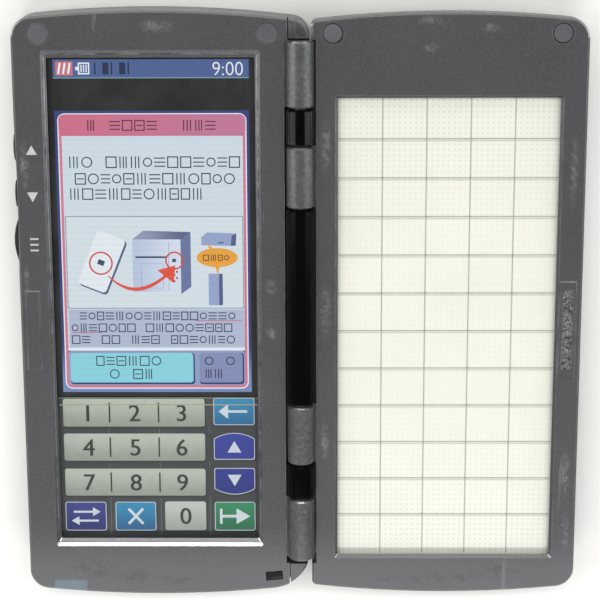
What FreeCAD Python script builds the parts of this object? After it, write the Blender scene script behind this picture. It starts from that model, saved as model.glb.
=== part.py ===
import FreeCAD, Part
import os
import re
import Sketcher

# A two-fold handheld ordering terminal, opened flat on a table.
# Origin: on the table under the hinge axis, at mid-length. +Z up, +Y to the terminal's top end.
# The main unit lies on the -X side, the menu panel on the +X side. All sizes are millimetres.

SIZES = (
    ("half_width", 75.0, "hinge axis to the outer side of either half"),
    ("half_length", 80.4, "middle to the crown of the main unit's ends"),
    ("panel_half_length", 79.75, "middle to the crown of the menu panel's ends"),
    ("end_crown", 2.1, "rise of each curved end over its corners"),
    ("corner_radius", 5.3, "outer corners in plan"),
    ("hinge_corner_radius", 1.5, "menu panel's corners beside the hinge in plan"),
    ("ear_corner", 5.0, "main unit's upper corner beyond the hinge"),
    ("ear_low_corner", 11.0, "main unit's lower corner beyond the hinge"),
    ("back_radius", 2.2, "rounding of the main unit's rear edge"),
    ("panel_back_radius", 1.4, "rounding of the menu panel's rear edge"),
    ("face_chamfer", 0.5, "bright chamfer round both front faces"),
    ("wall", 1.8, "side walls"),
    ("rear_floor", 1.5, "main unit's rear wall"),
    ("plate_thick", 1.2, "front faces"),
    ("panel_floor", 1.2, "menu panel's rear wall"),
    ("seam", 0.1, "line between a front and a rear case"),
    ("fit", 0.05, "gap between pieces fixed together"),
    ("slip", 0.2, "gap round pieces that slide"),
    ("fold_gap", 1.0, "gap between the front faces when folded"),
    ("barrel_radius", 3.6, "hinge knuckles"),
    ("cover_proud", 0.15, "gloss hinge covers over the knuckles"),
    ("hinge_clear", 0.4, "gap between the hinge covers and the cases beside them"),
    ("end_reach_main", 3.3, "hinge axis to the main unit's corners"),
    ("end_reach_panel", 2.9, "hinge axis to the menu panel's corners"),
    ("shelf_reach", 2.4, "rear case beyond the hinge axis"),
    ("ear_drop", 0.4, "front face to the top of the rear case's ears"),
    ("ear_gap", 0.3, "gap between an ear and its neighbours"),
    ("hinge_room", 1.35, "barrels to the shelf under them"),
    ("pin_radius", 1.5, "hinge pins"),
    ("running_gap", 0.05, "radial gap of the pins in the panel's knuckles"),
    ("sleeve_radius", 2.6, "friction sleeves on the pins"),
    ("hinge_middle", 1.65, "middle of the hinge above the middle of the cases"),
    ("middle_cover_half", 27.0, "half the length of the middle hinge cover"),
    ("panel_knuckle", 16.6, "length of each panel knuckle"),
    ("short_cover", 9.9, "length of the upper and lower hinge covers"),
    ("main_knuckle", 17.7, "length of each main knuckle"),
    ("relief_room", 1.8, "room beyond the lower main knuckle"),
    ("barrel_edge", 0.5, "chamfer at the ends of the barrels"),
    ("knuckle_gap", 0.3, "gap between neighbours on the hinge axis"),
    ("cover_thick", 1.4, "battery cover"),
    ("cover_edge", 18.0, "middle to the battery cover's upper edge"),
    ("deck_thick", 1.4, "rear case behind the battery cover"),
    ("battery_thick", 4.9, "battery pack"),
    ("battery_length", 45.2, "battery pack along the terminal"),
    ("well_wall", 0.8, "walls of the battery well"),
    ("frame_thick", 0.9, "display frame"),
    ("lcd_thick", 2.3, "screen"),
    ("lcd_length", 96.6, "screen along the terminal"),
    ("sheet_thick", 0.25, "printed sheets"),
    ("glass_thick", 1.1, "touch panel of the main unit"),
    ("gasket_thick", 0.3, "seals round both touch panels"),
    ("board_thick", 1.0, "main board"),
    ("window_side", 7.6, "outer side to the main window"),
    ("window_hinge", 10.5, "hinge axis to the main window"),
    ("window_top", 10.2, "upper crown to the main window"),
    ("window_bottom", 14.1, "lower crown to the main window"),
    ("window_bevel", 1.25, "stepped edge of the main window at its sides"),
    ("window_end_bevel", 2.0, "stepped edge of the main window at its ends"),
    ("window_slope", 0.45, "outer slope of the stepped edge at its sides"),
    ("window_end_slope", 0.85, "outer slope of the stepped edge at its ends"),
    ("window_drop", 0.38, "depth of the outer slope"),
    ("window_groove", 0.2, "groove between the slopes, wide and deep"),
    ("window_corner", 0.9, "corners of the main window"),
    ("glass_lap", 1.5, "touch panel under the window's sloped edge"),
    ("menu_side", 6.3, "outer side to the menu window"),
    ("menu_hinge", 9.2, "hinge axis to the menu window"),
    ("menu_top", 21.55, "upper crown to the menu window"),
    ("menu_bottom", 9.95, "lower crown to the menu window"),
    ("menu_bevel", 0.7, "slope of the menu window's edge"),
    ("menu_corner", 0.4, "corners of the menu window"),
    ("menu_lap", 0.9, "menu touch panel under the window's sloped edge"),
    ("menu_glass", 1.0, "menu touch panel"),
    ("backing_thick", 0.8, "stiffening plate behind the menu"),
    ("panel_board_thick", 0.8, "menu panel's board"),
    ("panel_chip_thick", 0.9, "chip on the menu panel's board"),
    ("cap_side", 7.0, "outer side to the screw caps"),
    ("cap_hinge", 8.5, "hinge axis to the screw caps"),
    ("cap_end", 6.0, "upper crown to the main unit's screw caps"),
    ("panel_cap_end", 5.35, "upper crown to the menu panel's screw caps"),
    ("cap_radius", 2.7, "screw caps"),
    ("cap_thick", 0.9, "screw caps"),
    ("low_screw_end", 7.5, "lower crown to the lower screws"),
    ("low_screw_inset", 19.0, "outer side to the outer lower screw"),
    ("screw_radius", 1.0, "screw shanks"),
    ("screw_head", 1.8, "screw head radius"),
    ("head_thick", 1.1, "screw head height"),
    ("boss_radius", 2.9, "screw bosses"),
    ("pad_rise", 0.3, "raised catch pads"),
    ("pad_bevel", 0.24, "bevel round the top of the catch pads"),
    ("pad_middle", -4.85, "catch pads along the terminal"),
    ("pad_length", 21.9, "main unit's catch pad"),
    ("pad_width", 3.9, "main unit's catch pad"),
    ("pad_side", 1.4, "outer side to the catch pads"),
    ("seat_length", 26.8, "magnet's raised seat"),
    ("seat_width", 4.7, "magnet's raised seat"),
    ("magnet_length", 21.8, "magnet bar"),
    ("magnet_width", 2.7, "magnet bar"),
    ("magnet_thick", 2.4, "magnet bar"),
    ("key_up_place", 44.0, "middle of the up key along the terminal"),
    ("key_down_place", 31.5, "middle of the down key"),
    ("key_enter_place", 18.7, "middle of the enter key"),
    ("key_length", 7.0, "up and down keys"),
    ("enter_length", 11.0, "enter key"),
    ("key_height", 3.4, "side keys across the wall"),
    ("key_rise", 1.1, "up and down keys over the wall, at their middles"),
    ("enter_rise", 1.7, "enter key over the wall, at its middle"),
    ("enter_bow", 1.0, "bow of the enter key's front"),
    ("switch_thick", 1.0, "switches behind the side keys"),
    ("key_under_split", 0.6, "side keys below the line between the cases"),
    ("key_flange", 0.5, "rim that holds a key in the wall"),
    ("key_travel", 0.5, "press of a side key"),
    ("scallop_depth", 0.35, "shallow hollow round the side keys"),
    ("scallop_length", 43.0, "shallow hollow round the side keys"),
    ("light_width", 9.0, "status light window"),
    ("light_side", 6.6, "outer side to the status light window"),
    ("light_lap", 0.1, "status light window past the wall's inner side"),
    ("light_height", 3.6, "status light window down the wall"),
    ("strap_width", 4.8, "strap slot"),
    ("strap_depth", 2.7, "strap slot"),
    ("strap_inset", 7.5, "hinge axis to the strap slot"),
    ("strap_end", 5.4, "lower crown to the middle of the strap slot"),
    ("strap_tilt", 5.4, "degrees, along the curved end"),
    ("port_width", 18.0, "infrared window"),
    ("port_height", 7.0, "infrared window"),
    ("port_place", 31.5, "middle to the infrared window"),
    ("latch_length", 6.0, "battery latch across the terminal"),
    ("latch_width", 4.6, "battery latch along the terminal"),
    ("latch_travel", 2.5, "slide of the battery latch"),
    ("latch_place", 12.6, "middle to the battery latch"),
    ("contacts_width", 15.8, "battery contacts across the terminal"),
    ("ribbon_thick", 0.2, "hinge ribbon"),
    ("ribbon_width", 20.0, "hinge ribbon"),
)

# Levels above the table, from the battery cover up to the front face.
DECK = "(cover_thick + slip)"
DECK_TOP = f"({DECK} + deck_thick)"
BATTERY = "(cover_thick + slip + fit)"
BATTERY_TOP = f"({BATTERY} + battery_thick)"
WELL_UNDER = f"({BATTERY_TOP} + slip)"
WELL_TOP = f"({WELL_UNDER} + well_wall)"
FRAME = f"({WELL_TOP} + slip)"
FRAME_TOP = f"({FRAME} + frame_thick)"
LCD = f"({FRAME_TOP} + fit)"
LCD_TOP = f"({LCD} + lcd_thick)"
SHEET = f"({LCD_TOP} + fit)"
SHEET_TOP = f"({SHEET} + sheet_thick)"
GLASS = f"({SHEET_TOP} + fit)"
GLASS_TOP = f"({GLASS} + glass_thick)"
GASKET = f"({GLASS_TOP} + fit)"
GASKET_TOP = f"({GASKET} + gasket_thick)"
PLATE = f"({GASKET_TOP} + fit)"
FACE = f"({PLATE} + plate_thick)"
AXIS = f"({FACE} + fold_gap / 2)"
COVER = "(barrel_radius + cover_proud)"
RELIEF = f"({COVER} + hinge_clear)"
SPLIT = f"({AXIS} - {COVER} - hinge_room)"
EAR_TOP = f"({FACE} - ear_drop)"
BOARD_TOP = f"({FRAME} - 2 * slip)"
BOARD = f"({BOARD_TOP} - board_thick)"

# Levels of the menu panel, from its front face down to its back.
MENU_GASKET = f"({PLATE} - fit - gasket_thick)"
MENU_GLASS_TOP = f"({MENU_GASKET} - fit)"
MENU_GLASS = f"({MENU_GLASS_TOP} - menu_glass)"
MENU_SHEET = f"({MENU_GLASS} - fit - sheet_thick)"
BACKING_TOP = f"({MENU_SHEET} - fit)"
BACKING = f"({BACKING_TOP} - backing_thick)"
PANEL_BOARD_TOP = f"({BACKING} - slip)"
PANEL_BOARD = f"({PANEL_BOARD_TOP} - panel_board_thick)"
PANEL_CHIP = f"({PANEL_BOARD} - panel_chip_thick)"
PANEL_INSIDE = f"({PANEL_CHIP} - slip)"
PANEL_BACK = f"({PANEL_INSIDE} - panel_floor)"
PANEL_SPLIT = f"({MENU_GLASS} - slip)"

# Plan positions of the main unit's window and what lies under it.
WINDOW_X0 = "(-half_width + window_side)"
WINDOW_X1 = "(-window_hinge)"
WINDOW_Y0 = "(-half_length + window_bottom)"
WINDOW_Y1 = "(half_length - window_top)"
GLASS_X0 = f"({WINDOW_X0} - glass_lap)"
GLASS_X1 = f"({WINDOW_X1} + glass_lap)"
GLASS_Y0 = f"({WINDOW_Y0} - glass_lap / 2)"
GLASS_Y1 = f"({WINDOW_Y1} + glass_lap / 2)"
LCD_Y1 = f"({WINDOW_Y1} - slip)"
LCD_Y0 = f"({LCD_Y1} - lcd_length)"
BATTERY_Y1 = "(-cover_edge - well_wall - 2 * slip - fit - 1)"
BATTERY_Y0 = f"({BATTERY_Y1} - battery_length)"
CASE_Y = "(half_length - end_crown - wall)"
CASE_X0 = "(-half_width + wall)"
CASE_X1 = f"(-{RELIEF} - wall)"

# Plan positions of the menu panel's window.
MENU_X0 = "menu_hinge"
MENU_X1 = "(half_width - menu_side)"
MENU_Y0 = "(-panel_half_length + menu_bottom)"
MENU_Y1 = "(panel_half_length - menu_top)"
PANEL_Y = "(panel_half_length - end_crown - wall)"
PANEL_X0 = f"({RELIEF} + wall)"
PANEL_X1 = "(half_width - wall)"

# Distances from the hinge's middle along its axis; both sides of the middle share them.
PANEL_KNUCKLE_START = "middle_cover_half"
PANEL_KNUCKLE_END = f"({PANEL_KNUCKLE_START} + panel_knuckle)"
MAIN_KNUCKLE_START = f"({PANEL_KNUCKLE_END} + short_cover)"
MAIN_KNUCKLE_END = f"({MAIN_KNUCKLE_START} + main_knuckle)"
RELIEF_Y = (f"(hinge_middle - {MAIN_KNUCKLE_END} - relief_room)", f"(hinge_middle + {MAIN_KNUCKLE_END})")
KEY_TOP = f"({SPLIT} - key_under_split)"

doc = FreeCAD.newDocument("OrderingTerminal")
sheet = doc.addObject("Spreadsheet::Sheet", "Sizes")
for row, (alias, number, note) in enumerate(SIZES, 1):
    sheet.set(f"A{row}", note)
    sheet.set(f"B{row}", str(number))
    sheet.setAlias(f"B{row}", alias)
doc.recompute()
ALIASES = {alias for alias, number, note in SIZES}
NODES = []


def named(expression):
    """The expression with each size's name pointed at the spreadsheet."""
    return re.sub(r"[a-z_]+", lambda m: f"Sizes.{m[0]}" if m[0] in ALIASES else m[0], str(expression))


def bind(thing, **sizes):
    for name, expression in sizes.items():
        thing.setExpression(name, named(expression))
    return thing


def place(thing, x=0, y=0, z=0):
    thing.setExpression(".Placement.Base.x", named(x))
    thing.setExpression(".Placement.Base.y", named(y))
    thing.setExpression(".Placement.Base.z", named(z))
    return thing


def node(thing, label):
    """Marks a finished piece; its label names its file."""
    thing.Label = label
    NODES.append(thing)
    return thing


def block(name, x, y, z):
    """A box from pairs of expressions, lowest and highest, along each axis."""
    thing = doc.addObject("Part::Box", name)
    bind(thing, Length=f"{x[1]} - ({x[0]})", Width=f"{y[1]} - ({y[0]})", Height=f"{z[1]} - ({z[0]})")
    return place(thing, x[0], y[0], z[0])


def disc(name, x, y, z, radius):
    """An upright cylinder between the two levels of z."""
    thing = bind(doc.addObject("Part::Cylinder", name), Radius=radius, Height=f"{z[1]} - ({z[0]})")
    return place(thing, x, y, z[0])


def rod(name, x, y, z, radius):
    """A cylinder lying along Y between the two stations of y."""
    thing = bind(doc.addObject("Part::Cylinder", name), Radius=radius, Height=f"{y[1]} - ({y[0]})")
    thing.Placement.Rotation = FreeCAD.Rotation(FreeCAD.Vector(1, 0, 0), -90)
    return place(thing, x, y[0], z)


def frustum(name, low, high, z):
    """A block whose plan changes from low to high, each (x0, x1, y0, y1), between the levels of z."""
    thing = doc.addObject("Part::Wedge", name)
    bind(thing, Xmin=low[0], Xmax=low[1], Zmin=f"-({low[3]})", Zmax=f"-({low[2]})", Ymin=z[0], Ymax=z[1])
    bind(thing, X2min=high[0], X2max=high[1], Z2min=f"-({high[3]})", Z2max=f"-({high[2]})")
    thing.Placement.Rotation = FreeCAD.Rotation(FreeCAD.Vector(1, 0, 0), 90)
    return thing


def joined(name, *shapes):
    thing = doc.addObject("Part::MultiFuse", name)
    thing.Shapes = list(shapes)
    thing.Refine = True
    return thing


def shared(name, *shapes):
    thing = doc.addObject("Part::MultiCommon", name)
    thing.Shapes = list(shapes)
    return thing


def cut(name, base, *tools):
    thing = doc.addObject("Part::Cut", name)
    thing.Base = base
    thing.Tool = tools[0] if len(tools) == 1 else joined(name + "Tools", *tools)
    thing.Refine = True
    return thing


def group(name, shapes):
    """Identical pieces that share one node as separate solids."""
    thing = doc.addObject("Part::Compound", name)
    thing.Links = list(shapes)
    return thing


def edges(thing, test):
    """Numbers of the edges whose bounding box passes the test."""
    doc.recompute()
    return [i for i, e in enumerate(thing.Shape.Edges, 1) if test(e.BoundBox)]


def rounded(kind, name, base, numbers, sizes):
    """A Part fillet or chamfer; sizes is one size or one for each edge."""
    thing = doc.addObject(f"Part::{kind}", name)
    thing.Base = base
    sizes = sizes if isinstance(sizes, list) else [sizes] * len(numbers)
    thing.Edges = [(i, s, s) for i, s in zip(numbers, sizes)]
    return thing


def mm(alias):
    return float(sheet.get(alias))


def upright(box):
    return box.ZLength > 1e-3 and box.XLength < 1e-3 and box.YLength < 1e-3


def origin_plane(body, role):
    return next(f for f in body.Origin.OriginFeatures if f.Role == role)


def rectangle(body, name, x, y, level):
    """A sketched rectangle with its four sides bound to the sheet."""
    sketch = body.newObject("Sketcher::SketchObject", name)
    sketch.AttachmentSupport = [(origin_plane(body, "XY_Plane"), "")]
    sketch.MapMode = "FlatFace"
    sketch.setExpression(".AttachmentOffset.Base.z", named(level))
    corners = [FreeCAD.Vector(px, py, 0) for px, py in ((0, 0), (9, 0), (9, 9), (0, 9))]
    for i in range(4):
        sketch.addGeometry(Part.LineSegment(corners[i], corners[(i + 1) % 4]), False)
    for i in range(4):
        sketch.addConstraint(Sketcher.Constraint("Coincident", i, 2, (i + 1) % 4, 1))
        sketch.addConstraint(Sketcher.Constraint(("Horizontal", "Vertical")[i % 2], i))
    sides = (("DistanceX", 0, "left", x[0]), ("DistanceX", 2, "right", x[1]))
    sides += (("DistanceY", 0, "lower", y[0]), ("DistanceY", 2, "upper", y[1]))
    for kind, line, label, expression in sides:
        number = sketch.addConstraint(Sketcher.Constraint(kind, -1, 1, line, 1, 1.0))
        sketch.renameConstraint(number, label)
        sketch.setExpression(f"Constraints.{label}", named(expression))
    return sketch


def plate(label, x, y, z, corner, notches=()):
    """A sheet or board: a padded rectangle with rounded corners, notched at its edge or pierced."""
    name = "".join(word.title() for word in label.split("_"))
    body = doc.addObject("PartDesign::Body", name)
    pad = body.newObject("PartDesign::Pad", name + "Pad")
    pad.Profile = rectangle(body, name + "Outline", x, y, z[0])
    bind(pad, Length=f"{z[1]} - ({z[0]})")
    doc.recompute()
    fillet = body.newObject("PartDesign::Fillet", name + "Corners")
    fillet.Base = (pad, [f"Edge{i}" for i, e in enumerate(pad.Shape.Edges, 1) if upright(e.BoundBox)])
    bind(fillet, Radius=corner)
    for i, (nx, ny) in enumerate(notches):
        pocket = body.newObject("PartDesign::Pocket", f"{name}Notch{i}")
        pocket.Profile = rectangle(body, f"{name}NotchOutline{i}", nx, ny, z[0])
        pocket.Type = "ThroughAll"
        pocket.Midplane = True
    return body


def half_blank(name, x, reach, length, z, inner, back=None, face=None):
    """One half's outline with curved ends: between x, crowned at length, its arc centred over the half."""
    chord = f"((half_width - {reach}) / 2)"
    radius = f"(({chord} ^ 2 + end_crown ^ 2) / (2 * end_crown))"
    middle = f"({'-' if x[0].startswith('-') else ''}(half_width + {reach}) / 2)"
    body = block(name + "Block", x, (f"-{length}", length), z)
    upper = disc(name + "Upper", middle, f"{length} - {radius}", z, radius)
    lower = disc(name + "Lower", middle, f"{radius} - {length}", z, radius)
    blank = shared(name + "Outline", body, upper, lower)
    corners = edges(blank, upright)
    radii = []
    for number in corners:
        box = blank.Shape.Edges[number - 1].BoundBox
        outer = abs(box.XMin) > mm("half_width") - 1e-3
        radii.append(mm("corner_radius") if outer else mm(inner[0] if box.YMin > 0 else inner[1]))
    shape = rounded("Fillet", name + "Corners", blank, corners, radii)
    doc.recompute()
    low, high = shape.Shape.BoundBox.ZMin, shape.Shape.BoundBox.ZMax
    if back:
        rim = edges(shape, lambda b: b.ZMax < low + 1e-3)
        shape = rounded("Fillet", name + "Back", shape, rim, mm(back))
    if face:
        rim = edges(shape, lambda b: b.ZMin > high - 1e-3)
        shape = rounded("Chamfer", name + "Face", shape, rim, mm(face))
    return shape


def main_blank(name, z, back=None, face=None):
    """The main unit's outline, out to its corners beyond the hinge."""
    corners = ("ear_corner", "ear_low_corner")
    x = ("-half_width", "shelf_reach")
    return half_blank(name, x, "end_reach_main", "half_length", z, corners, back, face)


def panel_blank(name, z, back=None, face=None):
    corners = ("hinge_corner_radius", "hinge_corner_radius")
    x = ("end_reach_panel", "half_width")
    return half_blank(name, x, "end_reach_panel", "panel_half_length", z, corners, back, face)


def hollow(name, low, high, z, corner):
    """A window's space between two levels of z, from the outline low up to high, with rounded corners."""
    space = frustum(name + "Space", low, high, z)
    return rounded("Fillet", name, space, edges(space, lambda b: b.ZLength > 1e-3), corner)


def barrel(name, y, radius):
    """A hinge knuckle or cover round the hinge axis, chamfered at both ends."""
    shape = rod(name + "Barrel", 0, y, AXIS, radius)
    ends = edges(shape, lambda b: b.YLength < 1e-3)
    return rounded("Chamfer", name + "Ends", shape, ends, mm("barrel_edge"))


def stations(start, end, side):
    """The span from start to end along the hinge, short of its neighbours, on the side +1 or -1."""
    near = f"({start} + knuckle_gap / 2)"
    far = f"({end} - knuckle_gap / 2)"
    if side > 0:
        return f"(hinge_middle + {near})", f"(hinge_middle + {far})"
    return f"(hinge_middle - {far})", f"(hinge_middle - {near})"


def side_name(side):
    return "Upper" if side > 0 else "Lower"


def screw_places(sign):
    """The two capped screws and the two lower ones of one half; sign is -1 for the main unit."""
    top = "half_length - cap_end" if sign < 0 else "panel_half_length - panel_cap_end"
    upper = ((f"{sign} * (half_width - cap_side)", top), (f"{sign} * cap_hinge", top))
    low = "-half_length + low_screw_end"
    lower_inner = f"{sign} * (cap_hinge + low_screw_inset - cap_side)"
    lower = ((f"{sign} * (half_width - low_screw_inset)", low), (lower_inner, low))
    return upper, lower


def scallop(name, z):
    """A long shallow cylinder that hollows the side wall round the side keys."""
    radius = "((scallop_length / 2) ^ 2 / (2 * scallop_depth))"
    middle = "(key_up_place + key_enter_place) / 2"
    return disc(name, f"-half_width + scallop_depth - {radius}", middle, z, radius)


def strap_cut(name):
    """The strap's way: in through the face, out through the end wall, square to the curved end."""
    x = ("-strap_width / 2", "strap_width / 2")
    well = block(name + "Well", x, ("-strap_depth / 2", "strap_depth / 2"), ("-3.6", "1"))
    way = block(name + "Way", x, ("-8", "strap_depth / 2"), ("-3.6", "-1.6"))
    shape = joined(name, well, way)
    shape.Placement.Rotation = FreeCAD.Rotation(FreeCAD.Vector(0, 0, 1), 1)
    shape.setExpression(".Placement.Rotation.Angle", named("strap_tilt"))
    return place(shape, "-strap_inset", "-half_length + strap_end", FACE)


def light_box(name, gap, blank):
    """The status light window's space in the corner between the face and the end wall."""
    x = (f"-half_width + light_side - {gap}", f"-half_width + light_side + light_width + {gap}")
    y = ("-half_length", f"-{CASE_Y} + light_lap + {gap}")
    space = block(name + "Space", x, y, (f"{FACE} - light_height - {gap}", FACE))
    return shared(name, blank, space)


def main_front_case():
    """Front bezel of the main unit: face, stepped window, knuckles, catch pad and strap slot."""
    bottom = f"({SPLIT} + seam)"
    blank = main_blank("MainFront", (bottom, FACE), face="face_chamfer")
    everywhere = ("-half_length - 1", "half_length + 1")
    through = (f"{bottom} - 1", f"{FACE} + 1")
    beyond = block("MainBeyond", ("-end_reach_main", "shelf_reach + 1"), everywhere, through)
    relief = block("MainRelief", (f"-{RELIEF}", "0"), RELIEF_Y, through)
    inside = block("MainInside", (CASE_X0, CASE_X1), (f"-{CASE_Y}", CASE_Y), (f"{bottom} - 1", PLATE))
    shell = cut("MainFrontShell", blank, beyond, relief, inside, *window_steps())
    additions = [shell]
    for side in (1, -1):
        y = stations(MAIN_KNUCKLE_START, MAIN_KNUCKLE_END, side)
        additions.append(barrel(f"MainKnuckle{side_name(side)}", y, "barrel_radius"))
        web = (f"{AXIS} - barrel_radius", f"{FACE} - face_chamfer")
        additions.append(block(f"MainWeb{side_name(side)}", (CASE_X1, "0"), y, web))
    for i, (px, py) in enumerate(sum(screw_places(-1), ())):
        additions.append(disc(f"MainFrontBoss{i}", px, py, (bottom, f"{PLATE} + 0.1"), "boss_radius"))
    strap_y = (f"-{CASE_Y} - 0.1", "-half_length + strap_end + strap_depth / 2 + wall")
    strap_x = ("-strap_inset - strap_width / 2 - wall", f"{CASE_X1} + 0.1")
    additions.append(block("StrapBoss", strap_x, strap_y, (bottom, f"{PLATE} + 0.1")))
    additions.append(catch_pad())
    body = joined("MainFrontBody", *additions)
    tools = [strap_cut("StrapSlot"), light_box("LightNotch", "fit", blank)]
    tools.append(scallop("FrontScallop", ("0", f"{FACE} + 1")))
    tools += cap_holes("Main", screw_places(-1), bottom)
    for side in (1, -1):
        tools += knuckle_bores(side)
    tools.append(ribbon_slot("MainRibbonSlot", (f"{CASE_X1} - 1", f"-{RELIEF} + 1")))
    return node(cut("MainFrontCase", body, *tools), "main_front_case")


def window_outline(side_inset, end_inset):
    """The main window's outline, drawn in by the insets: (x0, x1, y0, y1)."""
    x = (f"{WINDOW_X0} + {side_inset}", f"{WINDOW_X1} - ({side_inset})")
    return x + (f"{WINDOW_Y0} + {end_inset}", f"{WINDOW_Y1} - ({end_inset})")


def window_steps():
    """The main window's edge: outer slope, narrow groove, inner slope and the throat over the glass."""
    slope = window_outline("window_slope", "window_end_slope")
    ridge = window_outline("window_slope + window_groove", "window_end_slope + window_groove")
    low = window_outline("window_bevel", "window_end_bevel")
    step = f"({FACE} - window_drop)"
    corner = mm("window_corner")
    tight = corner - mm("window_slope")
    outer = hollow("WindowOuter", slope, window_outline("0", "0"), (step, FACE), corner)
    groove_z = (f"{step} - window_groove", step)
    wide = hollow("WindowGrooveWide", slope, slope, groove_z, tight)
    groove = cut("WindowGroove", wide, hollow("WindowGrooveCore", ridge, ridge, groove_z, tight))
    inner = hollow("WindowInner", low, ridge, (f"{PLATE} + gasket_thick", step), tight)
    throat = hollow("WindowThroat", low, low, (f"{PLATE} - 1", f"{PLATE} + gasket_thick"), tight)
    return outer, groove, inner, throat


def catch_pad():
    """The raised pad over the steel catch plate."""
    x = ("-half_width + pad_side", "-half_width + pad_side + pad_width")
    y = ("pad_middle - pad_length / 2", "pad_middle + pad_length / 2")
    return bevelled("CatchPad", block("CatchPadBlock", x, y, (f"{FACE} - 0.5", f"{FACE} + pad_rise")))


def bevelled(name, pad):
    """A raised pad with its upper edges bevelled."""
    doc.recompute()
    top = pad.Shape.BoundBox.ZMax
    return rounded("Chamfer", name, pad, edges(pad, lambda b: b.ZMin > top - 1e-3), mm("pad_bevel"))


def cap_holes(name, places, bottom):
    """Counterbores for the caps and the screw heads of the upper screws, and clearance for every shank."""
    tools = []
    for i, (px, py) in enumerate(places[0]):
        cap = (f"{FACE} - cap_thick - fit", f"{FACE} + 1")
        tools.append(disc(f"{name}CapSeat{i}", px, py, cap, "cap_radius + fit"))
        head = (f"{FACE} - cap_thick - head_thick - 3 * fit", FACE)
        tools.append(disc(f"{name}HeadSeat{i}", px, py, head, "screw_head + fit"))
        tools.append(disc(f"{name}ShankHole{i}", px, py, (f"{bottom} - 1", FACE), "screw_radius + fit"))
    for i, (px, py) in enumerate(places[1]):
        deep = f"{bottom} - 1"
        tools.append(disc(f"{name}LowHole{i}", px, py, (deep, f"{PLATE} - 0.6"), "screw_radius + fit"))
    return tools


def knuckle_bores(side):
    """The bores for a friction sleeve and its pin in one of the main unit's knuckles."""
    end = f"({MAIN_KNUCKLE_END} - wall)"
    pin = stations(MAIN_KNUCKLE_START, end, side)
    sleeve = stations(f"({MAIN_KNUCKLE_START} + wall)", end, side)
    open_end = (f"{pin[0]} - 1", pin[1]) if side > 0 else (pin[0], f"{pin[1]} + 1")
    return [
        rod(f"PinBore{side_name(side)}", 0, open_end, AXIS, "pin_radius + fit"),
        rod(f"SleeveBore{side_name(side)}", 0, sleeve, AXIS, "sleeve_radius + fit"),
    ]


# The ribbon leaves the middle cover's coil at this level, and drops to the main board at this place.
RIBBON = f"({AXIS} - {COVER} + 1.1)"
RIBBON_DROP = f"({CASE_X1} - 1.2)"


def ribbon_slot(name, x):
    """The ribbon's way through a wall beside the middle hinge cover."""
    z = (f"{RIBBON} - ribbon_thick / 2 - slip", f"{RIBBON} + ribbon_thick / 2 + slip")
    return block(name, x, ("-ribbon_width / 2 - slip", "ribbon_width / 2 + slip"), z)


def main_rear_case():
    """Rear case of the main unit: tray, shelf under the hinge, battery well and openings."""
    blank = main_blank("MainRear", ("0", SPLIT), back="back_radius")
    open_top = f"{SPLIT} + 1"
    upper = block("RearInside", (CASE_X0, CASE_X1), ("-cover_edge + wall", CASE_Y), ("rear_floor", open_top))
    lower = block("RearLow", (CASE_X0, CASE_X1), (f"-{CASE_Y}", "-cover_edge + wall"), (DECK_TOP, open_top))
    shelf_x = (f"{CASE_X1} - 1", "shelf_reach - wall")
    shelf_y = (f"-{CASE_Y} + ear_low_corner", f"{CASE_Y} - ear_corner")
    shelf = block("ShelfInside", shelf_x, shelf_y, (DECK_TOP, f"{SPLIT} - rear_floor"))
    seat_x = ("-half_width - 1", "shelf_reach + 1")
    seat = block("CoverSeat", seat_x, ("-half_length - 1", "-cover_edge"), ("-1", DECK))
    shell = cut("RearShell", blank, upper, lower, shelf, seat)
    additions = [shell, battery_well(), ears()]
    for i, (px, py) in enumerate(sum(screw_places(-1), ())):
        additions.append(disc(f"RearBoss{i}", px, py, (DECK_TOP + " - 1", SPLIT), "boss_radius - slip"))
    for i, (px, py) in enumerate(screw_places(-1)[0]):
        foot = ("rear_floor - 0.2", DECK_TOP)
        additions.append(disc(f"RearFoot{i}", px, py, foot, "boss_radius - slip"))
    additions.append(latch_boss())
    body = joined("RearBody", *additions)
    tools = [battery_room("WellRoom", "slip"), scallop("RearScallop", ("-1", f"{SPLIT} + 1"))]
    tools += [port_block("PortHole", "fit", 0, ("-1", "rear_floor + 0.1")), contact_opening()]
    tools += [key_block(f"{k}Hole", p, n, "slip", "1") for k, p, n in KEYS]
    tools += [contact_block(f"ChargeHole{i}", s, "fit", "1") for i, s in enumerate((-1, 1))]
    tools += latch_ways()
    for i, (px, py) in enumerate(screw_places(-1)[0]):
        tools.append(disc(f"RearThread{i}", px, py, (DECK, f"{SPLIT} + 1"), "screw_radius + fit"))
    for i, (px, py) in enumerate(screw_places(-1)[1]):
        tools.append(disc(f"RearShank{i}", px, py, ("0", f"{SPLIT} + 1"), "screw_radius + fit"))
        tools.append(disc(f"RearHead{i}", px, py, ("0", f"{DECK} + head_thick + fit"), "screw_head + fit"))
    return node(cut("MainRearCase", body, *tools), "main_rear_case")


def ears():
    """The rear case's corners that rise beyond the ends of the hinge, beside the front bezel."""
    blank = main_blank("EarOutline", (f"{SPLIT} - 0.1", EAR_TOP), face="face_chamfer")
    x = ("-end_reach_main + ear_gap", "shelf_reach + 1")
    z = (f"{SPLIT} - 1", f"{FACE} + 1")
    high = block("EarHigh", x, (f"{RELIEF_Y[1]} + ear_gap", "half_length"), z)
    low = block("EarLow", x, ("-half_length", f"{RELIEF_Y[0]} - ear_gap"), z)
    return shared("Ears", blank, joined("EarRooms", high, low))


def battery_room(name, gap):
    x = (f"{CASE_X0} + wall + well_wall + 1 - {gap}", f"{CASE_X1} - wall - well_wall - 1 + {gap}")
    y = (f"{BATTERY_Y0} - {gap}", f"{BATTERY_Y1} + {gap}")
    return block(name, x, y, ("-1", WELL_UNDER))


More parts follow.
